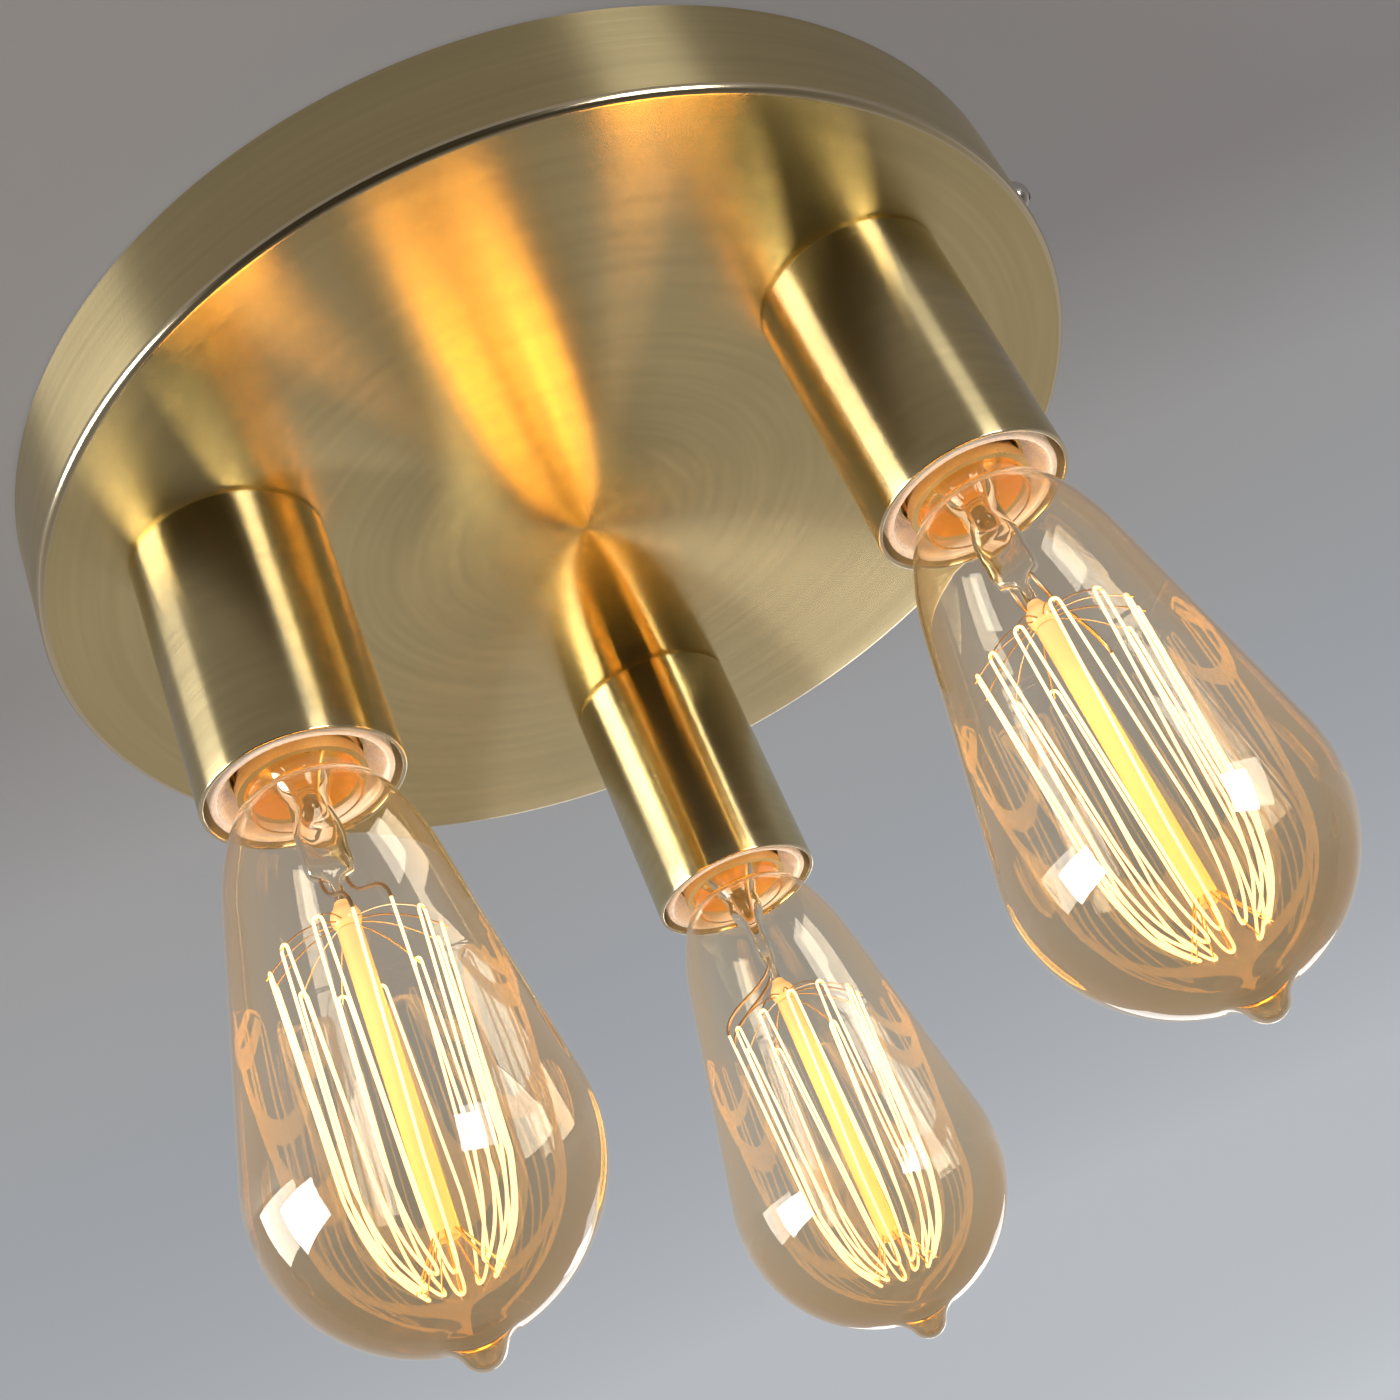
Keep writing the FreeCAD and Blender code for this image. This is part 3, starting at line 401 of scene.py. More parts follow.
BRASS = (0.640, 0.530, 0.285)
satin_brass = satin_brass_material("satin_brass", BRASS, 0.215, 0.16, 1.0)
# The polished edge is smoother than the satin brass, and its paler colour is a painted highlight.
polished_edge_painted_highlight = satin_brass_material("polished_brass_edge_painted_highlight", (0.72, 0.62, 0.44), 0.16, 0.05, 0.3)
print("brass:", satin_brass.name, polished_edge_painted_highlight.name)

# %% [markdown]
# ## Plain metals
# Nickel, zinc-plated steel, yellow nuts and contact brass differ only in colour, polish and speckle, so one maker
# builds them all from the handling group.  The inside of a lamp's cap is a bright hollow that faces the filament, so
# a copy of the cap's brass, a little more orange, carries a painted warm glow for the light it gathers there.

# %% Plain metals
def metal(name, colour, rough, size, speckle, painted_glow=None):
    """A metal with soft uneven polish and fine speckle; an optional last colour paints in, as an even glow, the warm
    light that a hollow piece gathers.
    """
    material, nodes, links, shader = new_material(name)
    coordinates = nodes.new("ShaderNodeTexCoord")
    marks = use_group(nodes, links, handling, Point=coordinates.outputs["Object"], Size=size)
    dark = tuple(c * (1 - speckle) for c in colour)
    links.new(ramp(nodes, links, marks["Flecks"], [(0.35, dark), (0.65, colour)]), shader.inputs["Base Color"])
    links.new(map_range(nodes, links, marks["Patches"], 0.3, 0.7, rough * 0.8, rough * 1.2),
              shader.inputs["Roughness"])
    shader.inputs["Metallic"].default_value = 1.0
    # Painted warm glow, standing in for filament light gathered in a hollow.
    if painted_glow:
        add_painted_glow(shader, painted_glow)
    bump(nodes, links, shader, marks["Flecks"], 0.15, 0.00003)
    return material


nickel = metal("nickel", (0.72, 0.70, 0.66), 0.16, 150.0, 0.05)
zinc_steel = metal("zinc_steel", (0.60, 0.61, 0.62), 0.34, 90.0, 0.16)
nut_brass = metal("nut_brass", (0.72, 0.55, 0.26), 0.28, 160.0, 0.10)
contact_brass = metal("contact_brass", (0.80, 0.60, 0.28), 0.24, 160.0, 0.08)
cap_brass = metal("cap_brass", (0.88, 0.62, 0.26), 0.34, 120.0, 0.08)
# The cap's inside: the same brass, a little more orange, with a painted warm glow.
cap_inside_painted_glow = metal("cap_brass_painted_glow", (0.88, 0.60, 0.22), 0.34, 120.0, 0.08, (0.27, 0.125, 0.022))
support_wire = metal("support_wire", (0.55, 0.42, 0.30), 0.35, 400.0, 0.15)
solder = metal("solder", (0.62, 0.61, 0.58), 0.38, 300.0, 0.15)
print("metals:", nickel.name, zinc_steel.name, nut_brass.name, contact_brass.name, cap_brass.name)

# %% [markdown]
# ## Plastics, porcelain and dark glass
# These are not metals, so their colour comes back from inside and the surface adds a clear gloss.
# Porcelain and glass close to the filament let light through, and a faint even painted glow stands for it.

# %% Plain non-metals
def moulded(name, colour, rough, size, grain, coat=0.0, painted_glow=None):
    """A glazed or moulded material with faint colour clouds and fine grain."""
    material, nodes, links, shader = new_material(name)
    coordinates = nodes.new("ShaderNodeTexCoord")
    marks = use_group(nodes, links, handling, Point=coordinates.outputs["Object"], Size=size)
    dark = tuple(c * 0.92 for c in colour)
    links.new(ramp(nodes, links, marks["Patches"], [(0.35, dark), (0.65, colour)]), shader.inputs["Base Color"])
    links.new(map_range(nodes, links, marks["Flecks"], 0.3, 0.7, rough * 0.85, rough * 1.15),
              shader.inputs["Roughness"])
    shader.inputs["Coat Weight"].default_value = coat
    shader.inputs["Coat Roughness"].default_value = 0.08
    # An optional painted glow for the filament light that the piece lets through.
    if painted_glow:
        add_painted_glow(shader, painted_glow)
    bump(nodes, links, shader, marks["Flecks"], grain, 0.00005)
    return material


# Porcelain and the dark insulator glass carry a painted warm glow, their last colour.
porcelain = moulded("porcelain", (0.88, 0.83, 0.79), 0.28, 70.0, 0.05, 0.6, (0.20, 0.165, 0.145))
black_glass = moulded("black_glass", (0.030, 0.018, 0.010), 0.12, 120.0, 0.04, 0.5, (0.10, 0.045, 0.010))
block_plastic = moulded("block_plastic", (0.72, 0.72, 0.70), 0.45, 90.0, 0.2)
brown_insulation = moulded("brown_insulation", (0.16, 0.07, 0.035), 0.42, 120.0, 0.2)
blue_insulation = moulded("blue_insulation", (0.03, 0.14, 0.42), 0.42, 120.0, 0.2)
print("non-metals:", porcelain.name, black_glass.name, block_plastic.name)

# %% [markdown]
# ## Two-coloured earth wire
# An earth lead is green with a yellow stripe along it.  The lead is a curve, whose map runs round it
# one way and along it the other, so the stripe is a band of that map.

# %% Earth insulation
def earth_insulation():
    """Green insulation with a yellow stripe along the lead."""
    material, nodes, links, shader = new_material("green_insulation")
    coordinates = nodes.new("ShaderNodeTexCoord")
    split = nodes.new("ShaderNodeSeparateXYZ")
    links.new(coordinates.outputs["UV"], split.inputs[0])
    marks = use_group(nodes, links, handling, Point=coordinates.outputs["Object"], Size=120.0)
    stripe = math_node(nodes, links, "GREATER_THAN", split.outputs["Y"], 0.5)
    links.new(ramp(nodes, links, stripe, [(0.0, (0.03, 0.24, 0.06)), (1.0, (0.72, 0.62, 0.04))]),
              shader.inputs["Base Color"])
    shader.inputs["Roughness"].default_value = 0.42
    bump(nodes, links, shader, marks["Flecks"], 0.2, 0.00005)
    return material


green_insulation = earth_insulation()
print("earth lead:", green_insulation.name)

# %% [markdown]
# ## Amber glass
# The bulb is thin clear glass with a light amber coat.  The wall has two faces, so light is bent and tinted on the
# way in and out.  Towards its edge the view passes through more of the wall, which is deeper in colour, and a painted
# warm glow there stands for the filament's light that the glass gathers.  Towards the bottom a painted dark
# reflection darkens and browns the glass and dims its painted glow.
# Light from the filament has to leave the glass too, so shadow rays and rays from other surfaces pass
# straight through: it keeps the render clean.

# %% Glass
# The bulb's painted dark reflection fades in between these two heights, and dims the painted glow there.
DARK_REFLECTION_START = -0.150
DARK_REFLECTION_FULL = -0.195
DARK_REFLECTION_GLOW = (0.45, 0.45, 0.45)
# Painted glow where the glass faces the view; it grows towards the edge.
FACE_PAINTED_GLOW = (0.010, 0.006, 0.002)


def clear_glass(name, colour, edge, painted_glow, ior, dark_reflection=None):
    """Transmitting glass, deeper in colour at its edge with a painted warm glow there, clear to light from other
    surfaces; an optional colour paints a dark reflection towards the bottom.
    """
    material, nodes, links, shader = new_material(name)
    coordinates = nodes.new("ShaderNodeTexCoord")
    marks = use_group(nodes, links, handling, Point=coordinates.outputs["Object"], Size=30.0)
    rim = nodes.new("ShaderNodeLayerWeight")
    rim.inputs["Blend"].default_value = 0.5
    tint = ramp(nodes, links, rim.outputs["Facing"], [(0.35, colour), (0.95, edge)])
    cloud = map_range(nodes, links, marks["Patches"], 0.3, 0.7, 1.0, 0.0)
    body = multiplied(nodes, links, cloud, tint, (0.97, 0.97, 0.97))
    # Painted warm glow, stronger at the edge, for the filament's light in the glass.
    painted_edge_glow = ramp(nodes, links, rim.outputs["Facing"], [(0.2, FACE_PAINTED_GLOW), (0.95, painted_glow)])
    # Painted dark reflection: the tint and the painted glow darken towards the bottom.
    if dark_reflection:
        split = nodes.new("ShaderNodeSeparateXYZ")
        links.new(coordinates.outputs["Object"], split.inputs[0])
        depth = map_range(nodes, links, split.outputs["Z"], DARK_REFLECTION_START, DARK_REFLECTION_FULL, 0.0, 1.0)
        body = multiplied(nodes, links, depth, body, dark_reflection)
        painted_edge_glow = multiplied(nodes, links, depth, painted_edge_glow, DARK_REFLECTION_GLOW)
    links.new(body, shader.inputs["Base Color"])
    links.new(painted_edge_glow, shader.inputs["Emission Color"])
    shader.inputs["Emission Strength"].default_value = 1.0
    shader.inputs["Transmission Weight"].default_value = 1.0
    shader.inputs["Roughness"].default_value = 0.0
    shader.inputs["IOR"].default_value = ior
    path = nodes.new("ShaderNodeLightPath")
    through = math_node(nodes, links, "MAXIMUM", path.outputs["Is Shadow Ray"], path.outputs["Is Diffuse Ray"])
    mirrored = math_node(nodes, links, "SUBTRACT", path.outputs["Is Glossy Ray"],
                         path.outputs["Is Transmission Ray"])
    through = math_node(nodes, links, "MAXIMUM", through, mirrored)
    clear = nodes.new("ShaderNodeBsdfTransparent")
    clear.inputs["Color"].default_value = (*(c ** 0.5 for c in colour), 1.0)
    mix = nodes.new("ShaderNodeMixShader")
    links.new(through, mix.inputs["Fac"])
    links.new(shader.outputs[0], mix.inputs[1])
    links.new(clear.outputs[0], mix.inputs[2])
    links.new(mix.outputs[0], nodes["Material Output"].inputs["Surface"])
    return material


# The third colour is the painted edge glow; the bulb's last colour paints its dark reflection at the bottom.
amber_glass = clear_glass("amber_glass", (0.970, 0.915, 0.820), (0.90, 0.66, 0.38), (0.085, 0.046, 0.015), 1.45,
                          (0.86, 0.76, 0.62))
stem_glass = clear_glass("stem_glass", (0.98, 0.95, 0.90), (0.92, 0.76, 0.52), (0.060, 0.034, 0.014), 1.5)
print("glass:", amber_glass.name, stem_glass.name)

# %% [markdown]
# ## Glowing parts
# The filament is far brighter than anything else, so it burns out to pale yellow in the middle of each strand and
# keeps its orange at the edges.  The light that it throws on the brass is deeper in colour than the strand itself
# looks, so the two are set apart by the kind of ray.  The glass rod inside the cage and the bead on the stem are no
# lamps: the filament's light that they carry is painted on them as a glow.

# %% Glow
THROWN_COLOUR = (1.0, 0.48, 0.07, 1.0)
MIRROR_SHARE = 0.4


def glowing(name, colour, core, edge, seen, cast, rough):
    """A hot material: it fades to its edge as seen by the camera, and casts a deeper, stronger light."""
    material, nodes, links, shader = new_material(name)
    rim = nodes.new("ShaderNodeLayerWeight")
    rim.inputs["Blend"].default_value = 0.5
    shader.inputs["Base Color"].default_value = (*colour, 1.0)
    shader.inputs["Roughness"].default_value = rough
    links.new(ramp(nodes, links, rim.outputs["Facing"], [(0.25, core), (0.85, edge)]),
              shader.inputs["Emission Color"])
    shader.inputs["Emission Strength"].default_value = seen
    thrown = nodes.new("ShaderNodeEmission")
    thrown.inputs["Color"].default_value = THROWN_COLOUR
    path = nodes.new("ShaderNodeLightPath")
    links.new(map_range(nodes, links, path.outputs["Is Singular Ray"], 0.0, 1.0, cast, cast * MIRROR_SHARE),
              thrown.inputs["Strength"])
    direct = math_node(nodes, links, "MAXIMUM", path.outputs["Is Camera Ray"], path.outputs["Is Transmission Ray"])
    mix = nodes.new("ShaderNodeMixShader")
    links.new(direct, mix.inputs["Fac"])
    links.new(thrown.outputs[0], mix.inputs[1])
    links.new(shader.outputs[0], mix.inputs[2])
    links.new(mix.outputs[0], nodes["Material Output"].inputs["Surface"])
    return material


filament_glow = glowing("filament", (0.05, 0.03, 0.02), (1.0, 0.80, 0.45), (0.92, 0.48, 0.16), 2.8, 18.0, 0.6)
# The rod and the bead are no lamps: their glow is painted, for the filament's light they carry.
rod_painted_glow = glowing("painted_glow_rod", (0.42, 0.27, 0.13), (1.0, 0.62, 0.28), (0.85, 0.38, 0.08), 0.85, 1.2, 0.2)
print("glow:", filament_glow.name, rod_painted_glow.name)

# %% [markdown]
# ## The pan
# The real pan is spun from thin brass-plated steel: a flat face, a rolled edge and a straight side
# wall.  It is turned here with its true wall, and the holes for the threaded tubes and side screws
# are cut with Boolean modifiers, as a maker would drill them after turning.

# %% Pan
PAN_RADIUS = 122.0
PAN_HEIGHT = 25.0
PAN_WALL = 1.0
PAN_EDGE = 1.6
NIPPLE_HOLE = 5.2
SIDE_HOLE = 2.2
SIDE_SCREW_DEPTH = 13.0


def pan_outline():
    """Closed outline of the pan's wall, from the middle of its face."""
    side = PAN_RADIUS - PAN_EDGE
    low = -PAN_HEIGHT + PAN_EDGE
    inner = PAN_EDGE - PAN_WALL
    outside = [(0, -PAN_HEIGHT)] + arc((side, low), PAN_EDGE, -90, 0, 10)
    inside = arc((side, low), inner, 0, -90, 5) + [(0, -PAN_HEIGHT + PAN_WALL)]
    return dense(outside + [(PAN_RADIUS, 0), (PAN_RADIUS - PAN_WALL, 0)] + inside, 8.0)


def drill(piece, spots):
    """Cuts round holes: each spot is (centre, axis, radius, length) in millimetres."""
    cutters = []
    for number, (centre, axis, radius, length) in enumerate(spots):
        outline = [(0, -length / 2), (radius, -length / 2), (radius, length / 2), (0, length / 2)]
        points, faces, _ = ring_grid(turned_rings(outline, 48), Matrix())
        mesh = bpy.data.meshes.new("drill")
        mesh.from_pydata([Vector(p) * MM for p in points], [], faces)
        cutter = bpy.data.objects.new("drill", mesh)
        bpy.context.scene.collection.objects.link(cutter)
        turn = Vector((0, 0, 1)).rotation_difference(Vector(axis)).to_matrix().to_4x4()
        cutter.matrix_world = Matrix.Translation(Vector(centre) * MM) @ turn
        hole = piece.modifiers.new("hole " + str(number), "BOOLEAN")
        hole.object = cutter
        hole.solver = "EXACT"
        cutters.append(cutter)
    bpy.context.view_layer.update()
    shaped = bpy.data.meshes.new_from_object(piece.evaluated_get(bpy.context.evaluated_depsgraph_get()))
    piece.modifiers.clear()
    piece.data = shaped
    for cutter in cutters:
        bpy.data.objects.remove(cutter)
    return piece


def assign_band(piece, material, test):
    """Gives the faces whose middle passes a test another material."""
    piece.data.materials.append(material)
    index = len(piece.data.materials) - 1
    for face in piece.data.polygons:
        if test(face.center / MM):
            face.material_index = index


pan = turned("brass_pan", pan_outline(), "fixture", ["ceiling_plate"], satin_brass, segments=360)
holes = [(lamp_place(lamp).translation.xy.to_3d() - Vector((0, 0, PAN_HEIGHT)), (0, 0, 1), NIPPLE_HOLE, 6.0)
         for lamp in LAMPS]
holes += [((side * PAN_RADIUS, 0, -SIDE_SCREW_DEPTH), (1, 0, 0), SIDE_HOLE, 6.0) for side in (-1, 1)]
drill(pan, holes)
# The rolled edge gets the polished finish with its painted highlight.
assign_band(pan, polished_edge_painted_highlight, lambda c: c.z < -PAN_HEIGHT + PAN_EDGE and c.xy.length > PAN_RADIUS - PAN_EDGE)
print("pan faces", len(pan.data.polygons))

# %% [markdown]
# ## Cups
# Each cup is a drawn brass tube with a closed top, satin like the pan.  Its mouth is left as cut, with just the burr
# taken off, and the lip gets the smoother edge finish, whose paler colour paints a thin bright highlight line.

# %% Cups
CUP_RADIUS = 20.7
CUP_LENGTH = 61.5
CUP_WALL = 0.9
CUP_BASE = 1.5
CUP_LIP = 0.25
CUP_CHAMFER = 0.8


def cup_outline():
    """Closed outline of a cup, mouth at z = 0."""
    inner = CUP_RADIUS - CUP_WALL
    inside = [(NIPPLE_HOLE, CUP_LENGTH), (NIPPLE_HOLE, CUP_LENGTH - CUP_BASE), (inner, CUP_LENGTH - CUP_BASE)]
    lip = arc((inner + CUP_LIP, CUP_LIP), CUP_LIP, 180, 270, 4)
    rim = arc((CUP_RADIUS - CUP_LIP, CUP_LIP), CUP_LIP, 270, 360, 4)
    top = [(CUP_RADIUS, CUP_LENGTH - CUP_CHAMFER), (CUP_RADIUS - CUP_CHAMFER, CUP_LENGTH)]
    return dense(inside + lip + rim + top, 6.0)


for lamp in LAMPS:
    cup = turned("brass_cup_" + lamp, cup_outline(), "fixture", ["cup_" + lamp], satin_brass,
                 lamp_place(lamp), 192)
    # The cup's lip gets the polished finish with its painted highlight.
    assign_band(cup, polished_edge_painted_highlight, lambda c: c.z < MOUTH_Z + CUP_LIP)
print("cups", len(LAMPS), "faces each", len(cup.data.polygons))

# %% [markdown]
# ## Porcelain lampholder
# Inside each cup sits a glazed porcelain body.  From below it shows as a pale rim with a funnel that
# leads to the brass screw shell.  The glaze is built as a thin clear coat over a warm white.

# %% Lampholders
HOLDER_RADIUS = 18.5
HOLDER_FRONT = 0.5
HOLDER_BACK = 46.0
HOLDER_RIM_INNER = 17.0
HOLDER_RIM_DEPTH = 2.0
HOLDER_LIP = 0.5
HOLDER_BORE = 13.95
FUNNEL_DEPTH = 5.5
HOLDER_FLOOR = 29.0
CAVITY_RADIUS = 12.5
CAVITY_START = 32.0


def holder_outline():
    """Closed outline of the porcelain body."""
    back = [(0, HOLDER_FLOOR), (HOLDER_BORE, HOLDER_FLOOR), (HOLDER_BORE, FUNNEL_DEPTH + 0.4)]
    funnel = [(HOLDER_BORE + 0.15, FUNNEL_DEPTH), (HOLDER_RIM_INNER - 0.15, HOLDER_RIM_DEPTH)]
    inner = [(HOLDER_RIM_INNER, HOLDER_RIM_DEPTH - 0.3)]
    inner += arc((HOLDER_RIM_INNER + HOLDER_LIP, HOLDER_FRONT + HOLDER_LIP), HOLDER_LIP, 180, 270, 5)
    outer = arc((HOLDER_RADIUS - HOLDER_LIP, HOLDER_FRONT + HOLDER_LIP), HOLDER_LIP, 270, 360, 5)
    cavity = [(HOLDER_RADIUS, HOLDER_BACK), (CAVITY_RADIUS, HOLDER_BACK), (CAVITY_RADIUS, CAVITY_START)]
    return back + funnel + inner + outer + cavity + [(0, CAVITY_START)]


for lamp in LAMPS:
    turned("porcelain_holder_" + lamp, holder_outline(), "fixture", ["lampholder_" + lamp],
           porcelain, lamp_place(lamp), 96, sharp=50.0)
print("lampholders", len(LAMPS))

# %% [markdown]
# ## The lamp's screw cap
# A lamp cap is thin brass pressed into a rounded thread.  Seen as a surface, its radius rises and
# falls along a helix: at each point the height above the thread's start, less the pitch times the way
# round, says how far the point is from the crest.

# %% Screw caps
PITCH = 3.62
CAP_CREST = 13.1
CAP_ROOT = 12.15
CAP_WALL = 0.4
CAP_RIM = 1.0
CAP_SKIRT_END = 3.4
CAP_TAPER = 0.8
THREAD_START = 5.4
THREAD_TURNS = 3.75
CAP_BARREL_END = 21.0
CAP_SHOULDER_RADIUS = 9.0
CAP_SHOULDER_DROP = 1.6
THREAD_HALF_WIDTH = 1.1


def thread_height(angle_share, z):
    """Height of the pressed thread at a share of the way round and a height, in millimetres."""
    low = THREAD_START
    high = THREAD_START + PITCH * THREAD_TURNS
    offset = (z - low - PITCH * angle_share + PITCH / 2) % PITCH - PITCH / 2
    crest_z = z - offset
    fade = min(1.0, max(0.0, (crest_z - low) / 0.8 + 0.2), max(0.0, (high - crest_z) / 0.8 + 0.2))
    rise = max(0.0, 1 - (offset / THREAD_HALF_WIDTH) ** 2)
    return (CAP_CREST - CAP_ROOT) * rise * fade


def cap_rings(segments):
    """Rings of the cap's outside, then its plain inside."""
    levels = [(CAP_CREST, CAP_RIM), (CAP_CREST, CAP_SKIRT_END), (CAP_ROOT, CAP_SKIRT_END + CAP_TAPER)]
    steps = 90
    for step in range(1, steps):
        z = CAP_SKIRT_END + CAP_TAPER + (CAP_BARREL_END - CAP_SKIRT_END - CAP_TAPER) * step / steps
        levels.append((None, z))
    inside = CAP_ROOT - CAP_WALL
    shoulder_z = CAP_BARREL_END + CAP_SHOULDER_DROP
    levels += [(CAP_ROOT, CAP_BARREL_END), (CAP_SHOULDER_RADIUS, shoulder_z),
               (CAP_SHOULDER_RADIUS - CAP_WALL, shoulder_z), (inside, CAP_BARREL_END - CAP_WALL), (inside, CAP_RIM)]
    rings = []
    for radius, z in levels:
        ring = []
        for i in range(segments):
            here = CAP_ROOT + thread_height(i / segments, z) if radius is None else radius
            angle = 2 * math.pi * i / segments
            ring.append((here * math.cos(angle), here * math.sin(angle), z))
        rings.append(ring)
    return rings


for lamp in LAMPS:
    points, faces, uvs = ring_grid(cap_rings(96), lamp_place(lamp))
    cap = mesh_piece("screw_cap_" + lamp, points, faces, uvs, "bulb_" + lamp, ["bulb_cap_" + lamp],
                     cap_brass, 45.0)
    centre = lamp_place(lamp).translation.xy
    # The inside of the cap gets the brass with the painted warm glow.
    assign_band(cap, cap_inside_painted_glow, lambda c: (c.xy - centre).length < CAP_ROOT - CAP_WALL / 2)
print("caps", len(LAMPS), "thread crest", CAP_CREST, "mm")

# %% [markdown]
# ## The bulb
# The glass is pear shaped: a round belly, nearly straight sides, a soft shoulder at the neck, and a
# small drawn tip where the bulb was pumped and sealed.  Arcs that share a tangent make it smooth, so
# reflections run over it without a kink.

# %% Bulb outline
BULB_RADIUS = 32.0
BULB_CENTRE = 81.5
BULB_SIDE = 10.6
GLASS_WALL = 0.7
NECK_RADIUS = 11.45
NECK_END = 8.0
SIDE_END = 22.0
UPPER_RADIUS = 60.0
UPPER_TURN = 16.0
SHOULDER = 8.0
TIP_BALL = 4.2
TIP_LENGTH = 5.0
TIP_BLEND = 6.0


def moved_arc(start, radius, first, last, steps):
    """Arc from start whose outward normal turns from the first angle to the last, in degrees."""
    centre = (start[0] - radius * math.cos(math.radians(first)), start[1] - radius * math.sin(math.radians(first)))
    return arc(centre, radius, first, last, steps)[1:]


def glass_outline(inset, top):
    """Outline of the glass from its tip to its neck, drawn in by the inset."""
    steep = BULB_SIDE + UPPER_TURN
    tip_z = -BULB_CENTRE - BULB_RADIUS - TIP_LENGTH + TIP_BALL
    gap = -BULB_CENTRE - tip_z
    drop = ((BULB_RADIUS + TIP_BLEND) ** 2 - (TIP_BALL + TIP_BLEND) ** 2 + gap ** 2) / (2 * gap)
    blend_radius = math.sqrt((BULB_RADIUS + TIP_BLEND) ** 2 - drop ** 2)
    blend_low = math.degrees(math.atan2(gap - drop, blend_radius))
    blend_high = math.degrees(math.atan2(-drop, blend_radius))
    outline = [(0, tip_z - TIP_BALL + inset)]
    outline += moved_arc(outline[-1], TIP_BALL - inset, -90, blend_low, 14)
    outline += moved_arc(outline[-1], -TIP_BLEND - inset, blend_low, blend_high, 10)
    outline += moved_arc(outline[-1], BULB_RADIUS - inset, blend_high, BULB_SIDE, 40)
    side = math.radians(BULB_SIDE)
    length = (BULB_CENTRE - BULB_RADIUS * math.sin(side) - SIDE_END) / math.cos(side)
    start = outline[-1]
    for step in range(1, 13):
        t = length * step / 12
        outline.append((start[0] - t * math.sin(side), start[1] + t * math.cos(side)))
    outline += moved_arc(outline[-1], UPPER_RADIUS - inset, BULB_SIDE, steep, 10)
    shoulder = outline[-1][0] - (SHOULDER - inset) * math.cos(math.radians(steep))
    neck = NECK_RADIUS - inset
    neck_angle = math.degrees(math.acos((neck - shoulder) / (SHOULDER - inset)))
    outline += moved_arc(outline[-1], SHOULDER - inset, steep, neck_angle, 8)
    return outline + [(neck, (outline[-1][1] + top) / 2), (neck, top)]


wall = glass_outline(0.0, NECK_END) + list(reversed(glass_outline(GLASS_WALL, NECK_END)))
for lamp in LAMPS:
    turned("glass_bulb_" + lamp, wall, "bulb_" + lamp, ["bulb_glass_" + lamp], amber_glass,
           lamp_place(lamp), 160, sharp=60.0)
print("bulb widest", 2 * BULB_RADIUS, "mm, bottom", round(MOUTH_Z + wall[0][1], 1), "mm")

# %% [markdown]
# ## The glass stem
# A flared tube is fused into the bulb's neck.  Its end is pinched flat over the wires while soft, then
# a thin rod with a bead carries the filament's cage.  Rings that change from round to flat and back
# again make the pinch in one piece, which a lathe could not.

# %% Stems
STEM_FLARE = 10.45
STEM_TUBE = 4.2
STEM_WALL = 0.9
PINCH_TOP = -8.0
PINCH_END = -21.0
PINCH_HALF_WIDTH = 5.0
PINCH_HALF_DEPTH = 2.3
STEM_NECK = 1.3
BEAD_RADIUS = 3.0
BEAD_Z = -30.0
ROD_RADIUS = 2.4
ROD_END = -95.0
ROD_BORE = 1.5
ROD_BORE_DEPTH = 4.0
ROUND = 2.0
FLAT = 4.0


def oval_ring(wide, deep, z, power, segments=48):
    """Ring that is round at power 2 and squarer above it."""
    ring = []
    for i in range(segments):
        angle = 2 * math.pi * i / segments
        c, s = math.cos(angle), math.sin(angle)
        x = wide * math.copysign(abs(c) ** (2 / power), c)
        y = deep * math.copysign(abs(s) ** (2 / power), s)
        ring.append((x, y, z))
    return ring


def stem_rings():
    """Rings of the flare and tube, from the inside of the flare to the end of the pinch."""
    rings = []
    flare = [(STEM_FLARE - STEM_WALL, 7.0), (6.9, 4.6), (5.3, 2.2), (4.2, -0.6), (STEM_TUBE - STEM_WALL, -3.0)]
    for radius, z in [(0, PINCH_TOP + 1.0), (1.8, PINCH_TOP + 1.3), (3.1, PINCH_TOP + 2.6)] + flare[::-1]:
        rings.append(oval_ring(radius, radius, z, ROUND) if radius else [(0, 0, z)])
    for radius, z in ((STEM_FLARE, 7.0), (7.8, 4.2), (6.2, 2.0), (5.1, -0.6), (STEM_TUBE, -3.0), (STEM_TUBE, -6.0)):
        rings.append(oval_ring(radius, radius, z, ROUND))
    rings.append(oval_ring(4.5, 3.6, PINCH_TOP, 2.3))
    rings.append(oval_ring(4.8, 2.6, PINCH_TOP - 1.6, 3.0))
    for step in range(5):
        z = PINCH_TOP - 3.0 + (PINCH_END - PINCH_TOP + 5.0) * step / 4
        swell = 0.22 * math.sin(2.4 * step)
        rings.append(oval_ring(PINCH_HALF_WIDTH - 0.25 + swell / 2, PINCH_HALF_DEPTH - 0.3 + swell, z, FLAT))
    rings.append(oval_ring(4.3, 1.9, PINCH_END + 0.7, 3.0))
    rings.append(oval_ring(2.6, 1.6, PINCH_END + 0.1, 2.4))
    rings.append(oval_ring(STEM_NECK, STEM_NECK, PINCH_END - 1.2, ROUND))
    for z in (-24.0, -26.4):
        rings.append(oval_ring(STEM_NECK, STEM_NECK, z, ROUND))
    for degrees in range(140, 20, -15):
        angle = math.radians(degrees - 90)
        rings.append(oval_ring(BEAD_RADIUS * math.cos(angle), BEAD_RADIUS * math.cos(angle),
                               BEAD_Z + BEAD_RADIUS * math.sin(angle), ROUND))
    rings.append(oval_ring(0.6, 0.6, BEAD_Z - BEAD_RADIUS + 0.1, ROUND))
    rings.append([(0, 0, BEAD_Z - BEAD_RADIUS)])
    return rings


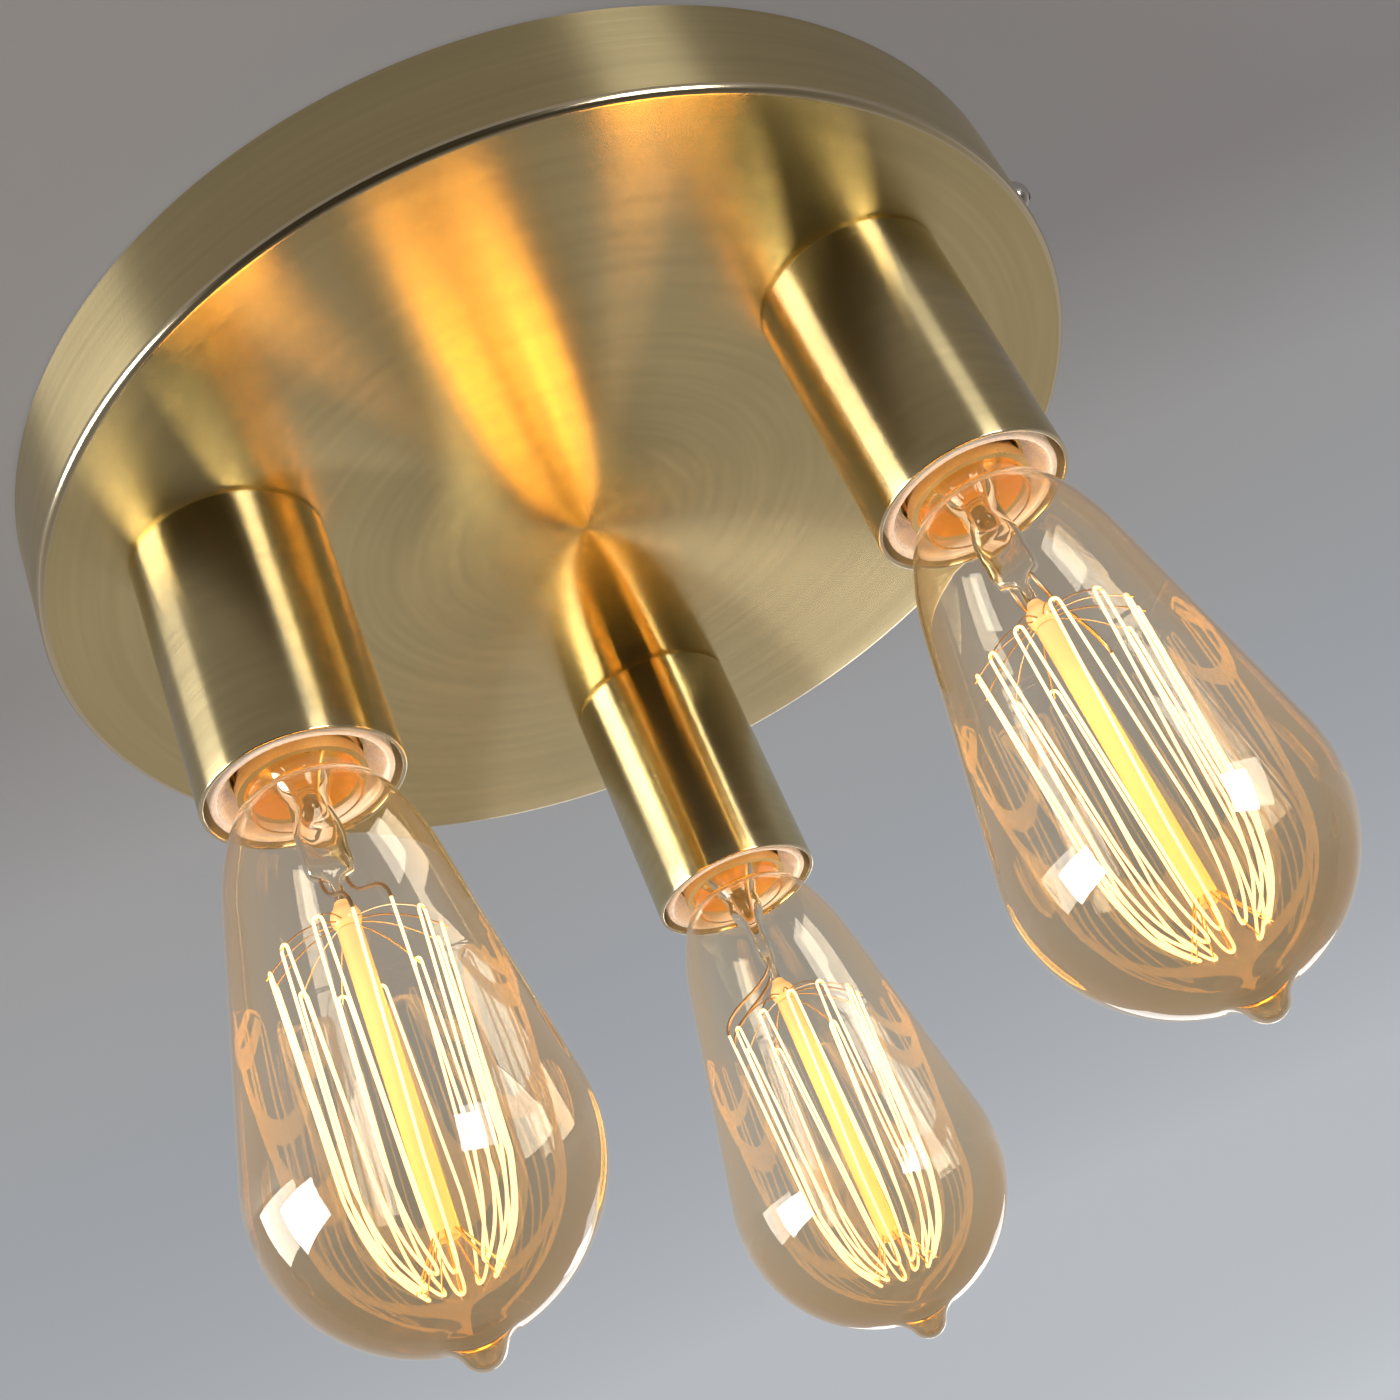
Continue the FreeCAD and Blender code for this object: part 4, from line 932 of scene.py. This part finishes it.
def rod_outline():
    """The rod from the bead down to its open end."""
    end = arc((ROD_RADIUS - 0.45, ROD_END + 0.45), 0.45, 0, -180, 6)
    bore = [(ROD_BORE, ROD_END + ROD_BORE_DEPTH - 0.6), (ROD_BORE - 0.6, ROD_END + ROD_BORE_DEPTH)]
    top = [(0, BEAD_Z - 1.6), (ROD_RADIUS - 0.7, BEAD_Z - 1.8), (ROD_RADIUS, BEAD_Z - 2.6)]
    rod = dense([(ROD_RADIUS, BEAD_Z - 2.6), (ROD_RADIUS, ROD_END + 0.45)], 6.0)
    return top + rod + end + bore + [(0, ROD_END + ROD_BORE_DEPTH)]


for lamp in LAMPS:
    points, faces, uvs = ring_grid(stem_rings(), lamp_place(lamp))
    stem = mesh_piece("glass_stem_" + lamp, points, faces, uvs, "bulb_" + lamp, ["bulb_stem_" + lamp],
                      stem_glass, 70.0)
    # The bead at the stem's end shares the rod's painted glow.
    assign_band(stem, rod_painted_glow, lambda c: c.z < MOUTH_Z + BEAD_Z + BEAD_RADIUS)
    turned("glass_rod_" + lamp, list(reversed(rod_outline())), "bulb_" + lamp, [], rod_painted_glow,
           lamp_place(lamp), 40, sharp=60.0)
print("stems", len(LAMPS), "rod", 2 * ROD_RADIUS, "mm thick")

# %% [markdown]
# ## The squirrel-cage filament
# One long thread runs up and down round the rod in narrow loops.  Fine wires carry its upper bends,
# and shorter ones spread its lower tips like petals.  A curve with a round bevel is the natural tool:
# the control points come from a formula with a small unevenness, so no two loops are quite alike.

# %% Filament and wires
LOOPS = 12
SPACINGS = 12.6
FILAMENT_RADIUS = 0.32
CAGE_TOP = (16.5, -37.0, 0.9)
CAGE_SHAPES = ((15.0, -84.0, 1.5), (12.2, -96.0, 1.3))
CAGE_TIP = (7.0, -102.5, 0.85)
SUPPORT_RADIUS = 0.15
FEED_RADIUS = 0.4
FEED_SPREAD = 2.6
FEED_STRAIGHT = 4.0
UPPER_ROOT, UPPER_KNEE, UPPER_EYE = 2.85, 10.2, 17.5
LOWER_ROOT = 2.58
LOWER_EYE_OUT, LOWER_EYE_UP = 0.38, 0.47


def wobble(index, amount, rate):
    """Small uneven shift for each loop."""
    return amount * math.sin(rate * (index + 1))


def loop_angle(index):
    """Angle of a loop; halves are the lower tips."""
    step = 2 * math.pi / SPACINGS
    gap = 2 * math.pi - step * LOOPS
    return math.pi / 2 + gap / 2 + step * index + math.radians(wobble(index, 1.6, 2.3))


def polar(radius, angle, z, across=0.0):
    """Point at a radius and angle, shifted sideways by across."""
    return Vector((radius * math.cos(angle) - across * math.sin(angle),
                   radius * math.sin(angle) + across * math.cos(angle), z))


def tip_height(index):
    """Height of a lower tip."""
    return CAGE_TIP[1] + wobble(index, 1.3, 3.1)


def top_height(index):
    """Height of an upper bend."""
    return CAGE_TOP[1] + wobble(index, 0.9, 1.7)


def filament_points():
    """Control points of the one thread."""
    radius, _, half = CAGE_TOP
    points = [polar(radius, loop_angle(0), top_height(0), half)]
    for index in range(LOOPS):
        tip = loop_angle(index + 0.5)
        shapes = CAGE_SHAPES + ((CAGE_TIP[0], tip_height(index), CAGE_TIP[2]),)
        points += [polar(r, tip, z, -w) for r, z, w in shapes]
        points += [polar(r, tip, z, w) for r, z, w in reversed(shapes)]
        bend, high = loop_angle(index + 1), top_height(index + 1)
        points.append(polar(radius, bend, high, -half))
        if index + 1 < LOOPS:
            points.append(polar(radius, bend, high, half))
    return points


def with_midpoints(points, longest):
    """Adds points on long runs, so that a curve stays close to them."""
    result = [points[0]]
    for start, end in zip(points, points[1:]):
        if (end - start).length > longest:
            result += [start.lerp(end, 0.06), start.lerp(end, 0.5), start.lerp(end, 0.94)]
        result.append(end)
    return result


def wire_piece(name, runs, radius, body, nodes, material, place, resolution=6):
    """One or more smooth round wires as a curve, which rides on a body."""
    curve = bpy.data.curves.new(name, "CURVE")
    curve.dimensions = "3D"
    curve.bevel_depth = radius * MM
    curve.bevel_resolution = 3
    curve.use_fill_caps = True
    for points in runs:
        spline = curve.splines.new("NURBS")
        spline.points.add(len(points) - 1)
        for target, point in zip(spline.points, points):
            target.co = (*(place @ point * MM), 1.0)
        spline.order_u = 3
        spline.use_endpoint_u = True
        spline.resolution_u = resolution
        spline.use_smooth = True
    curve.materials.append(material)
    piece = bpy.data.objects.new(name, curve)
    bpy.context.scene.collection.objects.link(piece)
    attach(piece, body)
    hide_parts(*nodes)
    return piece


def upper_supports():
    """Fine bent wires from the bead to the upper bends."""
    wires = []
    for index in range(1, LOOPS):
        angle = loop_angle(index)
        eye = top_height(index) - 0.6
        wires.append([polar(UPPER_ROOT, angle, BEAD_Z - 1.0), polar(UPPER_KNEE, angle, BEAD_Z - 1.6),
                      polar(UPPER_EYE, angle, eye - 0.7)])
    return wires


def lower_supports():
    """Fine straight wires from the rod's end to the lower tips."""
    wires = []
    for index in range(LOOPS):
        angle = loop_angle(index + 0.5)
        eye = polar(CAGE_TIP[0] + LOWER_EYE_OUT, angle, tip_height(index) + LOWER_EYE_UP)
        start = polar(LOWER_ROOT, angle, ROD_END + 1.0)
        wires.append([start, eye, eye + (eye - start).normalized()])
    return wires


def lead_in_wires():
    """The two stiff wires from the pinch to the thread's ends."""
    points = filament_points()
    wires = []
    for side, end, near in ((-1, points[0], points[1]), (1, points[-1], points[-2])):
        start = Vector((side * FEED_SPREAD, 0, PINCH_END - 0.02))
        along = (end - near).normalized()
        wires.append([start, start + Vector((0, 0, -FEED_STRAIGHT)), end + along * FEED_STRAIGHT, end])
    return wires


for lamp in LAMPS:
    place = lamp_place(lamp)
    body = "bulb_" + lamp
    wire_piece("thread_" + lamp, [with_midpoints(filament_points(), 20.0)], FILAMENT_RADIUS, body,
               ["bulb_filament_" + lamp], filament_glow, place, 4)
    wire_piece("carriers_" + lamp, upper_supports() + lower_supports(), SUPPORT_RADIUS, body,
               ["bulb_supports_" + lamp], support_wire, place)
    wire_piece("feed_wires_" + lamp, lead_in_wires(), FEED_RADIUS, body,
               ["bulb_lead_wires_" + lamp], support_wire, place)
print("filament control points", len(filament_points()))

# %% [markdown]
# ## Leads inside the pan
# The leads are single-core and hold their shape, so each is one smooth curve from the terminal block
# through the threaded tube to its rivet.  They show only from above, where the pan is open.

# %% Leads
BLOCK_HALF_WIDTH = 9.0
SOCKET_DEPTH = 6.0
LEAD_RADIUS = 0.9
RUN_OUT = 13.0
RIVET_FACE = 32.6
RIVET_TURN = 5.5
SOCKET_OFFSET = 2.2
# Each lead: its pole along the strap, its depth, its offset in the tube, its rivet, slot and material.
LEADS = {"live": (31.0, 6.0, 1.3, 4.5, "brown_insulation", brown_insulation),
         "neutral": (45.0, 9.8, -1.3, -9.6, "blue_insulation", blue_insulation)}


def lead_points(lamp, kind):
    """Route of a lead in the frame of the whole light."""
    pole, height, offset, rivet = LEADS[kind][:4]
    side = 1 if lamp == "rear" else -1
    x = pole + (SOCKET_OFFSET if lamp == "right" else -SOCKET_OFFSET)
    place = lamp_place(lamp)
    start = Vector((x, side * (BLOCK_HALF_WIDTH - SOCKET_DEPTH), -height))
    out = Vector((x, side * (BLOCK_HALF_WIDTH + RUN_OUT), -height))
    over = place @ Vector((offset, 0, -height - MOUTH_Z))
    down = place @ Vector((offset, 0, HOLDER_BACK))
    turn = place @ Vector((rivet, 0, RIVET_FACE + RIVET_TURN))
    end = place @ Vector((rivet, 0, RIVET_FACE))
    return [start, start.lerp(out, 0.5), out, out.lerp(over, 0.5), over, over.lerp(down, 0.12), over.lerp(down, 0.85),
            down, turn, end]


EARTH_ROUTE = ((19.0, 3.0, -4.7), (19.0, 18.0, -4.7), (5.0, 25.5, -3.7), (-13.0, 25.5, -3.7), (-22.0, 18.7, -3.7),
               (-22.0, 10.7, -3.7))
for lamp in LAMPS:
    for kind, (_, _, _, _, slot, material) in LEADS.items():
        wire_piece(kind + "_wire_" + lamp, [lead_points(lamp, kind)], LEAD_RADIUS, "fixture",
                   [kind + "_lead_" + lamp], material, Matrix())
wire_piece("earth_wire", [[Vector(p) for p in EARTH_ROUTE]], LEAD_RADIUS, "fixture",
           ["earth_lead"], green_insulation, Matrix())
print("leads", 2 * len(LAMPS) + 1)

# %% [markdown]
# ## Hardware that keeps its measured shape
# Screws, nuts, washers, tags and contacts are already right as measured, so they only get their
# finishes.

# %% Finishes for the measured pieces
FINISHES = {
    "mounting_strap": zinc_steel, "side_screws": nickel, "earth_screw": nut_brass, "earth_tag": contact_brass,
    "terminal_block": block_plastic, "terminal_screws": nickel, "nipple_nuts": nut_brass,
    "nipple_washers": zinc_steel, "shell_rivets": contact_brass, "nipple": zinc_steel, "holder_hub": zinc_steel,
    "screw_shell": contact_brass, "centre_contact": contact_brass, "bulb_insulator": black_glass,
    "bulb_tip_contact": solder}


def finish_for(node):
    """Finish of a measured piece by its name, with or without its lamp."""
    for lamp in LAMPS:
        node = node.removesuffix("_" + lamp)
    return FINISHES.get(node)


dressed = 0
for node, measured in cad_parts.items():
    finish = finish_for(node)
    if finish is None:
        continue
    for holder in measured.material_slots:
        holder.material = finish
    dressed += 1
print("measured pieces with finishes:", dressed)

# %% [markdown]
# ## The ceiling and the room
# The light hangs from a pale ceiling, which is a plain plane seen only from below: from behind it is clear, so the
# open top of the pan can be looked into, and where the pan covers it a pale painted light lights the inside.
# Elsewhere painted shade darkens it near the camera's side and a painted glow makes it brighter far away, as in the
# picture.  A pale floor lies far below.

# %% Backdrop
# Painted shade and glow of the ceiling, by distance away from the camera's side: dim near it, brighter far away.
CEILING_PAINTED_LIGHT_TONES = ((-0.20, (0.170, 0.156, 0.146)), (0.00, (0.168, 0.160, 0.164)), (0.10, (0.265, 0.266, 0.274)),
                 (0.30, (0.285, 0.305, 0.330)), (0.90, (0.445, 0.470, 0.500)), (2.20, (0.430, 0.462, 0.495)))
AWAY = (-math.sin(CAMERA_TURN), math.cos(CAMERA_TURN), 0.0)
CEILING_SIZE, CEILING_Z = 8.0, 0.0004
FLOOR_SIZE, FLOOR_Z = 12.0, -1.6
# Within this radius, hidden by the pan, the ceiling carries a pale painted light that lights the pan's inside.
PAINTED_LIGHT_UNDER_PAN = 0.117


def plain_paint(name, colour):
    """A plain painted surface with very soft mottling; returns its parts so that more can be added."""
    material, nodes, links, shader = new_material(name)
    coordinates = nodes.new("ShaderNodeTexCoord")
    marks = use_group(nodes, links, handling, Point=coordinates.outputs["Object"], Size=3.0)
    dark = tuple(c * 0.97 for c in colour)
    links.new(ramp(nodes, links, marks["Patches"], [(0.3, dark), (0.7, colour)]), shader.inputs["Base Color"])
    shader.inputs["Roughness"].default_value = 0.9
    shader.inputs["Specular IOR Level"].default_value = 0.1
    return material, nodes, links, shader, coordinates


def ceiling_painted_light():
    """Dim paint with a painted glow that grows away from the camera's side, leaving painted shade near it, and a pale
    painted light where the pan covers it; clear from behind.
    """
    material, nodes, links, shader, coordinates = plain_paint("ceiling_painted_light", (0.10, 0.102, 0.105))
    # Painted shade near the camera's side and painted glow far away.
    far = nodes.new("ShaderNodeVectorMath")
    far.operation = "DOT_PRODUCT"
    links.new(coordinates.outputs["Object"], far.inputs[0])
    far.inputs[1].default_value = AWAY
    low, high = CEILING_PAINTED_LIGHT_TONES[0][0], CEILING_PAINTED_LIGHT_TONES[-1][0]
    share = map_range(nodes, links, far.outputs["Value"], low, high, 0.0, 1.0)
    stops = [((place - low) / (high - low), tone) for place, tone in CEILING_PAINTED_LIGHT_TONES]
    spread = nodes.new("ShaderNodeVectorMath")
    spread.operation = "LENGTH"
    links.new(coordinates.outputs["Object"], spread.inputs[0])
    # Pale painted light where the pan covers the ceiling.
    inside = math_node(nodes, links, "LESS_THAN", spread.outputs["Value"], PAINTED_LIGHT_UNDER_PAN)
    pan_painted_light = nodes.new("ShaderNodeMix")
    pan_painted_light.data_type = "RGBA"
    links.new(inside, pan_painted_light.inputs["Factor"])
    links.new(ramp(nodes, links, share, stops), pan_painted_light.inputs["A"])
    pan_painted_light.inputs["B"].default_value = (0.90, 0.90, 0.88, 1.0)
    links.new(pan_painted_light.outputs["Result"], shader.inputs["Emission Color"])
    shader.inputs["Emission Strength"].default_value = 0.95
    side = nodes.new("ShaderNodeNewGeometry")
    clear = nodes.new("ShaderNodeBsdfTransparent")
    mix = nodes.new("ShaderNodeMixShader")
    links.new(side.outputs["Backfacing"], mix.inputs["Fac"])
    links.new(shader.outputs[0], mix.inputs[1])
    links.new(clear.outputs[0], mix.inputs[2])
    links.new(mix.outputs[0], nodes["Material Output"].inputs["Surface"])
    return material


def plane(name, size, z, down, material):
    """A square plane facing down or up."""
    half = size / 2
    corners = [(-half, -half, z), (half, -half, z), (half, half, z), (-half, half, z)]
    mesh = bpy.data.meshes.new(name)
    mesh.from_pydata(corners, [], [(3, 2, 1, 0) if down else (0, 1, 2, 3)])
    mesh.materials.append(material)
    piece = bpy.data.objects.new(name, mesh)
    bpy.context.scene.collection.objects.link(piece)
    return piece


ceiling = plane("ceiling_backdrop", CEILING_SIZE, CEILING_Z, True, ceiling_painted_light())
floor_paint, _, _, floor_shader, _ = plain_paint("floor_paint", (0.62, 0.60, 0.57))
add_painted_glow(floor_shader, (0.30, 0.295, 0.285))
floor = plane("floor", FLOOR_SIZE, FLOOR_Z, False, floor_paint)
floor.visible_glossy = False
floor.visible_diffuse = False
print("stage:", ceiling.name, floor.name)

# %% [markdown]
# ## Light
# Studio light is a few soft panels.  Their shapes matter as much as their power, because brushed
# brass and glass show them: the panel on the left is the white patch on each bulb, and the small far
# one draws a pale wedge on the pan.  Each one is placed by its azimuth, from the camera's own side
# towards the right, and its elevation.  The far panels stand behind the light, so they are kept from
# showing through the bulbs.

# %% Lights
LIGHT_CENTRE = Vector((0, 0, -0.11))


def direction(azimuth, elevation):
    """Unit vector at an azimuth from the camera's side and an elevation, in degrees."""
    turn, rise = math.radians(azimuth) + CAMERA_TURN, math.radians(elevation)
    return Vector((math.sin(turn) * math.cos(rise), -math.cos(turn) * math.cos(rise), math.sin(rise)))


def soft_panel(name, azimuth, elevation, distance, width, height, radiance, colour):
    """A soft panel that faces the light; its power comes from its area and radiance."""
    way = direction(azimuth, elevation)
    data = bpy.data.lights.new(name, "AREA")
    data.shape = "RECTANGLE"
    data.size = width
    data.size_y = height
    data.energy = radiance * math.pi * width * height
    data.color = colour
    lamp = bpy.data.objects.new(name, data)
    bpy.context.scene.collection.objects.link(lamp)
    lamp.location = LIGHT_CENTRE + way * distance
    lamp.rotation_euler = way.to_track_quat("Z", "Y").to_euler()
    return lamp


soft_panel("panel_left", -70, -6.5, 1.1, 0.58, 0.40, 28.0, (1.0, 0.98, 0.96))
soft_panel("panel_right", 41, -9, 1.3, 0.36, 0.50, 22.0, (1.0, 0.98, 0.95))
far_panels = [soft_panel("panel_far", 172, -7, 3.4, 2.2, 0.8, 2.0, (0.97, 0.98, 1.0)),
              soft_panel("panel_window", 168, -11, 3.2, 0.5, 0.5, 4.0, (1.0, 0.98, 0.94))]
for panel in far_panels:
    panel.visible_transmission = False


def build_room():
    """Soft room light: warm and dim, dark behind the camera."""
    world = bpy.data.worlds.new("room")
    bpy.context.scene.world = world
    world.use_nodes = True
    nodes, links = world.node_tree.nodes, world.node_tree.links
    coordinates = nodes.new("ShaderNodeTexCoord")
    toward = nodes.new("ShaderNodeVectorMath")
    toward.operation = "DOT_PRODUCT"
    links.new(coordinates.outputs["Generated"], toward.inputs[0])
    toward.inputs[1].default_value = direction(0, -35)
    tone = ramp(nodes, links, map_range(nodes, links, toward.outputs["Value"], -1, 1, 0, 1),
                [(0.0, (0.46, 0.43, 0.40)), (0.36, (0.43, 0.40, 0.37)), (0.50, (0.27, 0.25, 0.22)),
                 (0.72, (0.13, 0.12, 0.10)), (0.92, (0.035, 0.03, 0.02))])
    path = nodes.new("ShaderNodeLightPath")
    mix = nodes.new("ShaderNodeMix")
    mix.data_type = "RGBA"
    links.new(path.outputs["Is Camera Ray"], mix.inputs["Factor"])
    links.new(tone, mix.inputs["A"])
    mix.inputs["B"].default_value = (0.50, 0.52, 0.55, 1.0)
    links.new(mix.outputs["Result"], nodes["Background"].inputs["Color"])
    nodes["Background"].inputs["Strength"].default_value = 1.0
    return world


build_room()
bpy.context.scene.view_settings.view_transform = "Standard"
